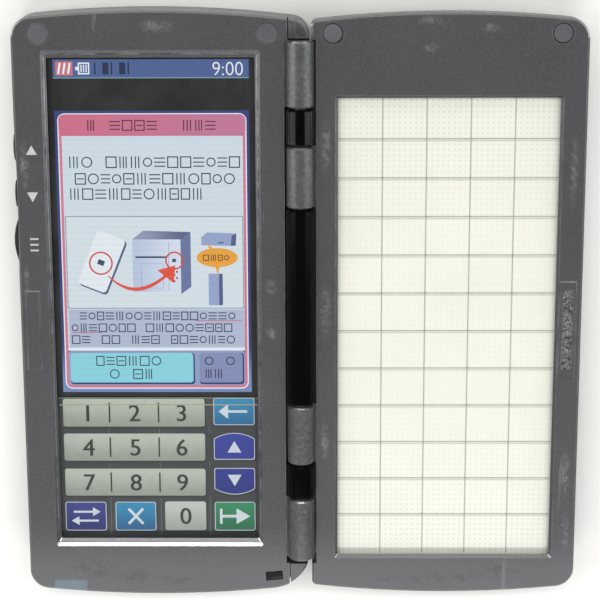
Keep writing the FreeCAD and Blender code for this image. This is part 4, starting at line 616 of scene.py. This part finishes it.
def screen_picture():
    """Status bar, dialog with plain signs for words, a simple diagram and two soft keys."""
    screen = Sheet("lcd_module", "screen_glass", gap=0.01, step=0.016, thick=0.012)
    left, right, head = screen.x0 + 2.35, screen.x1 - 2.5, screen.y1 - 2.55
    words_ink = lit("lcd_words", (36, 42, 70), 1.0)
    white = lit("lcd_white", (236, 242, 250), 1.0)

    bar_low = head - 4.7
    status = lit("lcd_status", (78, 98, 150), 1.0)
    screen.lay("status_bar", [box2(left, bar_low, right, head)], 0, status)
    cyan = lit("lcd_cyan_line", (130, 180, 190), 0.8)
    screen.lay("status_line", [box2(left, bar_low - 0.25, right, bar_low)], 0, cyan)
    clock_ink = {"material": white, "slot": screen.slot, "thin": 0.012, "squeeze": 0.94}
    writing("clock_digits", "9:00", right - 5.5, head - 2.45, screen.level(2), 3.5, **clock_ink)
    ground = lit("lcd_badge", (205, 120, 130), 0.95)
    screen.lay("status_badge", [box2(left + 0.7, bar_low + 0.5, left + 5.2, head - 0.5)], 1, ground)
    badge = []
    for i in range(3):
        foot = (left + 1.4 + 1.3 * i, bar_low + 0.9)
        badge.append(line2([foot, (left + 1.9 + 1.3 * i, head - 0.9)], 0.5))
    screen.lay("status_badge_bars", badge, 2, white)
    cell = [frame2(left + 6.6, bar_low + 0.8, left + 9.6, head - 0.8, 0.35)]
    cell.append(box2(left + 5.9, bar_low + 1.9, left + 6.6, head - 1.9))
    for i in range(3):
        cell.append(box2(left + 7.3 + 0.65 * i, bar_low + 1.4, left + 7.6 + 0.65 * i, head - 1.4))
    screen.lay("battery_symbol", cell, 1, white)
    marks = []
    for i in range(5):
        wide = 1.2 if i % 2 else 0
        marks.append(box2(left + 10.8 + 2.2 * i, bar_low + 0.8, left + 11.2 + 2.2 * i + wide, head - 0.8))
    screen.lay("status_marks", marks, 1, lit("lcd_dark_mark", (40, 50, 84), 0.9))

    top_y, low_y = head - 13.45, head - 89.9
    surround = lit("lcd_surround", (52, 64, 122), 1.0, (120, 140, 190), (low_y + 14, low_y + 2, "Y"))
    screen.lay("dialog_surround", [box2(left, low_y - 0.5, right, top_y)], 0, surround)
    l, r = left + 1.0, right - 1.0
    outline = frame2(l - 0.25, low_y + 0.45, r + 0.25, top_y - 0.7, 0.3, 1.9)
    screen.lay("dialog_outline", [outline], 2, white)
    pink = lit("lcd_pink", (214, 122, 146), 1.0)
    screen.lay("dialog_frame", [frame2(l, low_y + 0.7, r, top_y - 0.95, 0.75, 1.7)], 1, pink)
    title = [box2(l, top_y - 6.7, r, top_y - 0.95, 1.5)]
    rose = lit("lcd_title", (208, 112, 140), 1.0, (196, 120, 154), (left, right, "X"))
    screen.lay("dialog_title", title, 3, rose)
    words = plain_signs(l + 7.4, r - 6.4, top_y - 3.9, 2.9, 3, 0.3)
    screen.lay("title_words", words, 4, lit("lcd_title_word", (92, 44, 70), 0.9))
    body_top = top_y - 6.7
    body_low = low_y + 11.6
    page = lit("lcd_page", (208, 221, 232), 1.0)
    screen.lay("dialog_page", [box2(l + 0.75, body_low, r - 0.75, body_top)], 1, page)
    rows = [(l + 2.3, r - 1.2, 53.75), (l + 3.9, r - 2.6, 49.3), (l + 2.3, r - 11.4, 45.2)]
    words = []
    for i, (a, b, up) in enumerate(rows):
        words += plain_signs(a, b, low_y + up + 9.0, 3.1, 11 + i, 0.3)
    screen.lay("page_words", words, 2, words_ink)
    diagram(screen, l, r, low_y)

    band_top, band_low = low_y + 22.6, low_y + 12.2
    band = lit("lcd_band", (178, 188, 214), 1.0)
    screen.lay("note_band", [box2(l + 1.2, band_low, r - 0.7, band_top)], 2, band)
    words = []
    for i, (a, b) in enumerate(((l + 1.8, r - 1.4), (l + 1.8, r - 4.2), (l + 1.8, r - 1.2))):
        words += plain_signs(a, b, band_top - 1.75 - 3.3 * i, 2.4, 31 + i, 0.26, 0.4)
    screen.lay("note_words", words, 3, words_ink)
    rule = lit("lcd_rule", (206, 92, 128), 0.9)
    lines = [box2(r - 14.0, band_top - 3.2, r - 1.4, band_top - 3.0)]
    lines.append(box2(l + 1.8, band_top - 6.45, l + 10.0, band_top - 6.25))
    screen.lay("note_rules", lines, 3, rule)
    screen.lay("page_rule", [box2(l + 0.75, low_y + 11.2, r - 0.75, low_y + 11.75)], 2, white)
    key_ground = lit("lcd_key_ground", (146, 160, 200), 1.0)
    screen.lay("key_row_ground", [box2(l + 0.75, low_y + 1.4, r - 0.75, low_y + 11.2, 1.0)], 1, key_ground)
    soft_key(screen, "start", l + 1.2, low_y + 1.7, l + 34.9, low_y + 10.5, (140, 212, 226))
    soft_key(screen, "setup", l + 36.2, low_y + 1.7, r - 1.0, low_y + 10.5, (134, 144, 186))
    faces = plain_signs(l + 8.2, l + 28.4, low_y + 8.3, 2.8, 51)
    faces += plain_signs(l + 11.8, l + 24.8, low_y + 4.6, 2.8, 52)
    faces += plain_signs(l + 37.6, r - 3.4, low_y + 8.3, 2.5, 53)
    faces += plain_signs(l + 37.6, r - 2.0, low_y + 4.7, 2.5, 54)
    screen.lay("soft_key_words", faces, 4, words_ink)


def soft_key(screen, name, x0, y0, x1, y1, colour):
    """A raised key on the screen: a face with a dark edge below it and at its right."""
    edge = lit(f"lcd_{name}_edge", (38, 62, 116), 1.0)
    screen.lay(f"{name}_key_edge", [box2(x0, y0, x1, y1, 0.8)], 2, edge)
    face = lit(f"lcd_{name}_face", colour, 1.0)
    screen.lay(f"{name}_key_face", [box2(x0, y0 + 0.5, x1 - 0.4, y1, 0.8)], 3, face)


ARROW_STEPS = 14


def diagram(screen, l, r, low_y):
    """The drawing: a handheld and a large box, an arrow between them, and two small boxes."""
    ink = lit("lcd_ink", (60, 70, 104), 1.0)
    low, high = low_y + 22.9, low_y + 48.2
    thin_line = lit("lcd_thin_line", (104, 126, 140), 1.0)
    screen.lay("diagram_frame", [frame2(l + 1.0, low, r - 0.9, high, 0.18)], 2, thin_line)
    ground = lit("lcd_ground", (214, 226, 234), 1.0)
    half_layer = screen.level(1) + 0.008
    shape = [box2(l + 1.2, low, r - 1.1, high - 0.2)]
    slab("diagram_ground", shape, half_layer, 0.006, ground, UNIT)
    lean = Matrix.Rotation(math.radians(-22), 2)

    def tilted(points, cx, cy):
        out = []
        for x, y in points:
            v = lean @ Vector((x, y))
            out.append((cx + v.x, cy + v.y))
        return out

    cx, cy = l + 10.4, low + 12.9
    pale = lit("lcd_pale", (230, 238, 244), 1.0)
    steel_blue = lit("lcd_steel_blue", (150, 166, 206), 1.0)
    deep = lit("lcd_deep", (84, 96, 140), 1.0)
    screen.lay("drawn_handheld_side", [tilted(box2(-3.5, -8.2, 4.6, 7.6, 1.0), cx, cy)], 2, deep)
    screen.lay("drawn_handheld", [tilted(box2(-4.0, -7.8, 4.0, 7.8, 1.0), cx, cy)], 3, pale)
    screen.lay("drawn_window", [tilted(box2(-0.9, -0.6, 0.9, 0.8), cx - 0.2, cy - 0.3)], 4, ink)
    bx = l + 18.7
    front = [box2(bx, low + 4.6, bx + 12.9, low + 19.0)]
    front_blue = lit("lcd_box_front", (186, 200, 226), 1.0, (214, 224, 240), (bx, bx + 12, "X"))
    screen.lay("drawn_box_front", front, 2, front_blue)
    near, far = bx + 12.9, bx + 15.6
    side = [[(near, low + 4.0), (far, low + 6.0), (far, low + 21.0), (near, low + 19.0)]]
    screen.lay("drawn_box_side", side, 2, lit("lcd_box_side", (104, 118, 162), 1.0))
    roof = [[(bx, low + 19.0), (bx + 12.9, low + 19.0), (bx + 15.6, low + 21.0), (bx + 3.0, low + 21.4)]]
    roof_blue = lit("lcd_box_top", (96, 104, 138), 1.0, (150, 160, 190), (bx + 14, bx, "X"))
    screen.lay("drawn_box_top", roof, 3, roof_blue)
    screen.lay("drawn_box_slot", [box2(bx + 0.8, low + 13.9, bx + 8.9, low + 14.4)], 3, ink)
    box_lines = [frame2(bx + 2.2, low + 5.6, bx + 8.2, low + 12.4, 0.14)]
    box_lines.append(box2(bx + 9.6, low + 5.0, bx + 9.75, low + 18.4))
    screen.lay("drawn_box_lines", box_lines, 3, steel_blue)
    dots = [oval2(bx + 11.1 + 0.7 * (i % 2), low + 7.6 + 0.85 * i, 0.32, 0.32, 12) for i in range(4)]
    screen.lay("drawn_box_lamps", dots, 4, lit("lcd_lamps", (190, 70, 96), 1.0))
    screen.lay("drawn_box_port", [box2(bx + 10.6, low + 12.8, bx + 11.6, low + 13.7)], 4, ink)
    sx = r - 12.1
    flat = [(sx, low + 17.4), (sx + 9.0, low + 17.2), (sx + 9.4, low + 20.6)]
    flat += [(sx + 1.6, low + 20.9), (sx, low + 19.6)]
    screen.lay("drawn_station_flat", [flat], 2, steel_blue)
    screen.lay("drawn_station_tall", [box2(sx + 1.8, low + 0.9, sx + 5.6, low + 9.6, 0.3)], 2, steel_blue)
    ends = [[(sx + 7.9, low + 17.2), (sx + 9.2, low + 17.3), (sx + 9.4, low + 20.6), (sx + 8.1, low + 20.0)]]
    ends.append(box2(sx + 4.6, low + 0.9, sx + 5.6, low + 9.6, 0.2))
    ends.append(box2(sx + 4.4, low + 17.9, sx + 6.0, low + 18.3))
    screen.lay("drawn_station_ends", ends, 3, deep)
    balloon = [oval2(sx + 4.2, low + 14.0, 5.5, 2.6, 40)]
    balloon.append([(sx + 3.5, low + 12.0), (sx + 4.3, low + 9.2), (sx + 4.9, low + 12.0)])
    balloon.append([(sx + 2.4, low + 16.1), (sx + 1.2, low + 18.0), (sx + 3.6, low + 16.3)])
    screen.lay("drawn_balloon", balloon, 4, lit("lcd_orange", (236, 164, 62), 1.0))
    signs = plain_signs(sx + 0.4, sx + 8.4, low + 14.0, 1.7, 71, 0.24, 0.35)
    screen.lay("balloon_bars", signs, 5, lit("lcd_brown", (96, 66, 44), 1.0))
    red = lit("lcd_red", (206, 68, 72), 1.0)
    rings = [ring2(cx - 0.2, cy - 0.4, 3.2, 0.42), ring2(bx + 11.2, low + 13.2, 2.5, 0.42)]
    screen.lay("drawn_rings", rings, 5, red)
    arc = []
    for i in range(ARROW_STEPS + 1):
        s = i / ARROW_STEPS
        x = (cx + 1.6) * (1 - s) ** 2 + 2 * (cx + 8.6) * s * (1 - s) + (bx + 9.2) * s * s
        y = (cy - 3.8) * (1 - s) ** 2 + 2 * (low + 1.4) * s * (1 - s) + (low + 9.6) * s * s
        arc.append((x, y, 0.3 + 1.3 * s))
    left = [(x + w * 0.35, y + w * 0.5) for x, y, w in arc]
    right = [(x - w * 0.05, y - w * 0.5) for x, y, w in arc]
    head = [(bx + 6.6, low + 10.6), (bx + 11.4, low + 11.9), (bx + 10.9, low + 7.0)]
    screen.lay("drawn_arrow", [left + right[::-1], head], 6, lit("lcd_arrow", (226, 78, 58), 1.0))


# ---------------------------------------------------------------- the keypad

KEY_LINE = 0.22
KEY_CORNER = 0.7
SHADOW_CORNER = 0.8
SHADOW_RIGHT = 0.4
SHADOW_DOWN = 0.5
DIGIT_HEIGHT = 4.7
DIGIT_SPREAD = 0.08


def keypad():
    """Printed keys under the touch panel: three digit bars, a bottom row and a column of coloured keys."""
    keys = Sheet("keypad_sheet", "key_print", gap=0.004, step=0.008, thick=0.006)
    x0, x1, y1 = keys.x0, keys.x1, keys.y1
    top_row = y1 - 0.4
    rows = [(top_row - 7.9, top_row), (top_row - 17.7, top_row - 9.9), (top_row - 27.8, top_row - 20.0)]
    bottom = (top_row - 38.0, top_row - 29.5)
    bar_x = (x0 + 2.1, x0 + 40.7)
    right_x = (x1 - 13.0, x1 - 1.8)
    shadow = printed("key_shadow", (44, 48, 50))
    for i, (low, high) in enumerate(rows):
        face = printed(f"key_face_{i}", (152, 157, 148), (186, 190, 180), (low, high, "Y"))
        under = box2(bar_x[0] + 0.4, low - 0.6, bar_x[1] + 0.35, high - 0.5, 0.8)
        keys.lay(f"digit_bar_shadow_{i}", [under], 0, shadow)
        keys.lay(f"digit_bar_{i}", [box2(bar_x[0], low, bar_x[1], high, 0.65)], 1, face)
    dark = printed("key_ink", (44, 48, 48))
    third = (bar_x[1] - bar_x[0]) / 3
    dividers = []
    for low, high in rows:
        for k in (1, 2):
            dx = bar_x[0] + third * k + (-0.2 if k == 1 else 0.3)
            dividers.append(box2(dx - 0.22, low + 1.1, dx + 0.22, high - 1.1))
    keys.lay("digit_dividers", dividers, 2, dark)
    for i, (low, high) in enumerate(rows):
        for k in range(3):
            middle = bar_x[0] + third * (k + 0.5) + (0.3 - 0.1 * k)
            bold_digit(keys, 3 * i + k + 1, middle, (low + high) / 2 - 0.1, dark)
    edge = printed("key_edge", (196, 202, 214))
    white = printed("key_white", (206, 214, 222))
    blue = printed("key_blue", (26, 104, 150), (44, 138, 182), (rows[0][0], rows[0][1], "Y"))
    low_blue = printed("key_blue_low", (22, 96, 144), (44, 138, 182), (*bottom, "Y"))
    indigo = printed("key_indigo", (31, 41, 130), (46, 60, 154), (rows[2][0], rows[1][1], "Y"))
    low_indigo = printed("key_indigo_low", (32, 38, 112), (48, 54, 134), (*bottom, "Y"))
    green = printed("key_green", (24, 108, 72), (40, 136, 94), (*bottom, "Y"))
    grey = printed("key_grey", (160, 166, 160), (190, 196, 190), (*bottom, "Y"))
    cells = [
        ("back_key", (right_x[0], rows[0][0] + 0.4, right_x[1], rows[0][1] + 0.3), blue),
        ("switch_key", (x0 + 1.9, bottom[0], x0 + 13.2, bottom[1] - 0.1), low_indigo),
        ("clear_key", (x0 + 15.7, bottom[0], x0 + 26.9, bottom[1] - 0.1), low_blue),
        ("zero_key", (x0 + 29.4, bottom[0] + 0.1, x0 + 40.7, bottom[1]), grey),
        ("send_key", (right_x[0], bottom[0], right_x[1], bottom[1] - 0.1), green),
    ]
    for name, (a, b, c, d), paint in cells:
        under = box2(a + SHADOW_RIGHT, b - SHADOW_DOWN, c + SHADOW_RIGHT, d - SHADOW_DOWN, SHADOW_CORNER)
        keys.lay(name + "_shadow", [under], 0, shadow)
        keys.lay(name, [box2(a, b, c, d, KEY_CORNER)], 1, paint)
        if name != "zero_key":
            keys.lay(name + "_edge", [frame2(a, b, c, d, KEY_LINE, KEY_CORNER)], 2, edge)
    arrow_keys(keys, right_x, rows, indigo, edge, white, shadow)
    bold_digit(keys, 0, x0 + 35.1, (bottom[0] + bottom[1]) / 2, dark)
    symbols(keys, cells, white)
    lines = printed("electrode", (96, 104, 106))
    uprights = []
    gaps = [(rows[0][0] - 2.0, rows[0][0]), (rows[1][0] - 2.2, rows[1][0]), (bottom[0] - 1.4, rows[2][0])]
    for x in (x0 + 14.5, x0 + 28.3, x0 + 41.9):
        uprights += [box2(x - 0.09, low, x + 0.09, high) for low, high in gaps]
    slab("electrode_lines", uprights, keys.level(0) - 0.003, 0.005, lines, UNIT)
    # Painted highlight: pale olive lines where light catches the two edges of the clear film.
    painted_light = printed("film_edge", (168, 170, 138), rough=0.3)
    ends = [box2(x0 + 1.1, y1 - 2.25, x1 - 0.8, y1 - 1.95, 0.1)]
    ends.append(box2(x0 + 1.1, y1 - 0.2, x1 - 0.8, y1 - 0.05))
    keys.lay("film_edge_lines", ends, 4, painted_light)


def bold_digit(keys, value, x, y, material):
    """A printed digit with thick strokes: the same thin digit laid twice, a little apart."""
    for side, shift, layer in (("left", -DIGIT_SPREAD, 2), ("right", DIGIT_SPREAD, 3)):
        place = (x + shift, y, keys.level(layer))
        writing(f"digit_{value}_{side}", str(value), *place, DIGIT_HEIGHT, material, keys.slot)


def arched(x0, y0, x1, y1, rise, up):
    """A key outline with one bowed end."""
    steps = 12
    shape = [(x0, y0 + 0.5), (x0 + 0.15, y0 + 0.15), (x0 + 0.5, y0)]
    shape += [(x1 - 0.5, y0), (x1 - 0.15, y0 + 0.15), (x1, y0 + 0.5)]
    for i in range(steps + 1):
        s = i / steps
        shape.append((x1 + (x0 - x1) * s, y1 - rise + rise * math.sin(math.pi * s) ** 0.8))
    if up:
        return shape
    return [(x, y0 + y1 - y) for x, y in shape][::-1]


def arrow_keys(keys, right_x, rows, indigo, edge, white, shadow):
    """The up and down keys, which bow outward at one end."""
    a, c = right_x
    for name, row, up in (("up_key", 1, True), ("down_key", 2, False)):
        b, d = rows[row][0] + 0.3, rows[row][1] + 0.2
        outer = arched(a, b, c, d, 1.7, up)
        inner = arched(a + KEY_LINE, b + KEY_LINE, c - KEY_LINE, d - KEY_LINE, 1.6, up)
        under = [(x + SHADOW_RIGHT, y - SHADOW_DOWN) for x, y in outer]
        keys.lay(name + "_shadow", [under], 0, shadow)
        keys.lay(name, [outer], 1, indigo)
        keys.lay(name + "_edge", [(outer, inner)], 2, edge)
        mx, my = (a + c) / 2, (b + d) / 2 + (-0.2 if up else 0.3)
        s = 1 if up else -1
        arrow = [(mx - 1.9, my - 1.6 * s), (mx + 1.9, my - 1.6 * s), (mx, my + 1.7 * s)]
        keys.lay(name + "_arrow", [arrow], 2, white)


def symbols(keys, cells, white):
    """Plain symbols on the coloured keys: back, swap, cross and send."""
    middle = {name: ((a + c) / 2, (b + d) / 2) for name, (a, b, c, d), _ in cells}
    x, y = middle["back_key"]
    keys.lay("back_symbol", [line2([(x - 1.6, y), (x + 3.6, y)], 0.7)], 3, white)
    keys.lay("back_symbol_head", [[(x - 4.2, y), (x - 1.6, y + 2.1), (x - 1.6, y - 2.1)]], 3, white)
    x, y = middle["switch_key"]
    strokes, heads = [], []
    for s in (1, -1):
        strokes.append(line2([(x - 3.4 * s, y + 1.3 * s), (x + 1.9 * s, y + 1.3 * s)], 0.6))
        heads.append([(x + 4.0 * s, y + 1.3 * s), (x + 1.9 * s, y + 2.6 * s), (x + 1.9 * s, y)])
    keys.lay("swap_symbol", strokes, 3, white)
    keys.lay("swap_symbol_heads", heads, 3, white)
    x, y = middle["clear_key"]
    keys.lay("cross_symbol_rising", [line2([(x - 2.0, y - 2.2), (x + 2.0, y + 2.2)], 0.75)], 3, white)
    keys.lay("cross_symbol_falling", [line2([(x - 2.0, y + 2.2), (x + 2.0, y - 2.2)], 0.75)], 4, white)
    x, y = middle["send_key"]
    send = [line2([(x - 3.5, y), (x + 0.4, y)], 0.8), box2(x - 4.2, y - 2.2, x - 3.5, y + 2.2)]
    keys.lay("send_symbol", send, 3, white)
    keys.lay("send_symbol_head", [[(x + 0.4, y + 2.3), (x + 4.2, y), (x + 0.4, y - 2.3)]], 3, white)


# ---------------------------------------------------------------- the menu sheet and the marks

COLUMNS = 5
ROWS = 12
CELL_WIDE = 11.62
CELL_TALL = 10.43
HALF_LINE = 0.17
FIRST_COLUMN = 13.33
FIRST_ROW = 10.9


def menu_grid():
    """Thin printed lines that divide the menu sheet into cells, with a painted shadow strip just below each
    row line.
    """
    x0, y0, _, x1, y1, top = corners("menu_sheet")
    ink = printed("menu_line", (184, 185, 174))
    # Painted shadow: a grey strip just below each row line, darker than the sheet.
    soft = printed("menu_soft_line", (214, 216, 205))
    left, right, low, high = x0 + 1.6, x1 - 1.5, y0 + 1.6, y1 - 1.7
    lines = []
    painted_shadows = []
    first = high - FIRST_ROW
    for i in range(COLUMNS - 1):
        x = x0 + FIRST_COLUMN + CELL_WIDE * i
        lines.append(box2(x - HALF_LINE, low, x + HALF_LINE, high))
    for i in range(ROWS - 1):
        y = first - CELL_TALL * i
        lines.append(box2(left, y - HALF_LINE, right, y + HALF_LINE))
        painted_shadows.append(box2(left, y - 0.75, right, y - 0.3))
    slab("menu_grid_lines", lines, top + 0.012, 0.012, ink, PANEL)
    slab("menu_grid_shadows", painted_shadows, top + 0.003, 0.006, soft, PANEL)


def face_marks():
    """White marks beside the side keys: up, down and three bars for enter."""
    z = corners("window_gasket")[5] + 1.25
    white = printed("mark_white", (178, 178, 175), rough=0.45)
    up = [[(-72.0, 42.8), (-69.1, 42.8), (-70.55, 45.3)]]
    down = [[(-72.1, 32.8), (-70.65, 30.2), (-69.2, 32.8)]]
    bars = [box2(-71.7, 16.9 + 1.55 * i, -69.5, 17.35 + 1.55 * i) for i in range(3)]
    for name, shapes in (("up_mark", up), ("down_mark", down), ("enter_mark", bars)):
        slab(name, shapes, z, 0.02, white, UNIT)


# ---------------------------------------------------------------- stage

# Metres and watts from here on, as the stage is far larger than the terminal.
FLOOR_HALF = 3.0
FLOOR_DROP = 0.0002


def floor():
    """A plain pale sheet just under the terminal."""
    mesh = bpy.data.meshes.new("floor")
    corners_flat = [(x, y, 0) for x, y in box2(-FLOOR_HALF, -FLOOR_HALF, FLOOR_HALF, FLOOR_HALF)]
    mesh.from_pydata(corners_flat, [], [(0, 1, 2, 3)])
    plane = bpy.data.objects.new("floor", mesh)
    plane.location.z = -FLOOR_DROP
    bpy.context.scene.collection.objects.link(plane)
    look = Look("floor_paper")
    tone = look.mix(look.ramp(look.noise(12, 4), 0.35, 0.7), srgb(235, 235, 232), srgb(231, 231, 227))
    look.set(Base_Color=tone, Roughness=look.blendf(look.noise(60, 3), 0.8, 0.9))
    look.bump(look.noise(400, 4), 0.08, 0.1)
    mesh.materials.append(look.material)


WORLD_STRENGTH = 0.08
# Each lamp: name, place, aim, size, power and colour.
LAMPS = (
    ("key", (-0.05, 1.15, 0.70), (0, 0, 0), (1.1, 0.4), 7.5, (1.0, 0.99, 0.97)),
    ("low_front", (0.0, -0.86, 1.0), (0, -0.05, 0), (1.6, 0.3), 13.5, (1, 1, 1)),
    ("gleam", (0.0, 0.42, 1.0), (0, 0, 0), (1.6, 0.12), 5.5, (1, 1, 1)),
    ("side_fill", (1.15, 0.0, 0.60), (0, 0, 0), (0.4, 1.2), 6.5, (0.97, 0.99, 1.0)),
    ("left_fill", (-1.15, 0.0, 0.60), (0, 0, 0), (0.4, 1.2), 7.5, (1, 1, 1)),
)


def area_light(name, place, aim, size, power, colour):
    """A rectangular light at a place in metres, turned towards its aim."""
    data = bpy.data.lights.new(name, "AREA")
    data.shape = "RECTANGLE"
    data.size, data.size_y = size
    data.energy = power
    data.color = colour
    lamp = bpy.data.objects.new(name, data)
    lamp.location = place
    direction = Vector(aim) - Vector(place)
    lamp.rotation_euler = direction.to_track_quat("-Z", "Y").to_euler()
    bpy.context.scene.collection.objects.link(lamp)


def lights():
    """Soft light from all four sides, placed so that the glass mirrors none of it to the camera."""
    world = bpy.data.worlds.new("studio")
    world.use_nodes = True
    background = world.node_tree.nodes["Background"]
    background.inputs["Color"].default_value = (0.95, 0.98, 1.0, 1)
    background.inputs["Strength"].default_value = WORLD_STRENGTH
    bpy.context.scene.world = world
    for name, place, aim, size, power, colour in LAMPS:
        area_light(name, place, aim, size, power, colour)


TILT, YAW, ROLL = math.radians(13.878), math.radians(-0.5887), math.radians(-0.0436)
CAMERA_PLACE = (5.16, 128.35, 519.29)
LENS, SENSOR = 117.0, 36.0


def camera():
    """Above the upper end, looking down at the two halves."""
    look = Vector((0, -math.sin(TILT), -math.cos(TILT)))
    up = Vector((0, math.cos(TILT), -math.sin(TILT)))
    right = Vector((1, 0, 0))
    ahead = look * math.cos(YAW) + right * math.sin(YAW)
    right = right * math.cos(YAW) - look * math.sin(YAW)
    side = right * math.cos(ROLL) + up * math.sin(ROLL)
    up = up * math.cos(ROLL) - right * math.sin(ROLL)
    data = bpy.data.cameras.new("camera")
    data.lens, data.sensor_width = LENS, SENSOR
    eye = bpy.data.objects.new("camera", data)
    turn = Matrix((side, up, -ahead)).transposed()
    eye.matrix_world = Matrix.Translation(Vector(CAMERA_PLACE) * MM) @ turn.to_4x4()
    bpy.context.scene.collection.objects.link(eye)
    bpy.context.scene.camera = eye


bpy.context.scene.view_settings.view_transform = "Standard"
camera()
lights()
floor()
dress()
screen_picture()
keypad()
menu_grid()
face_marks()
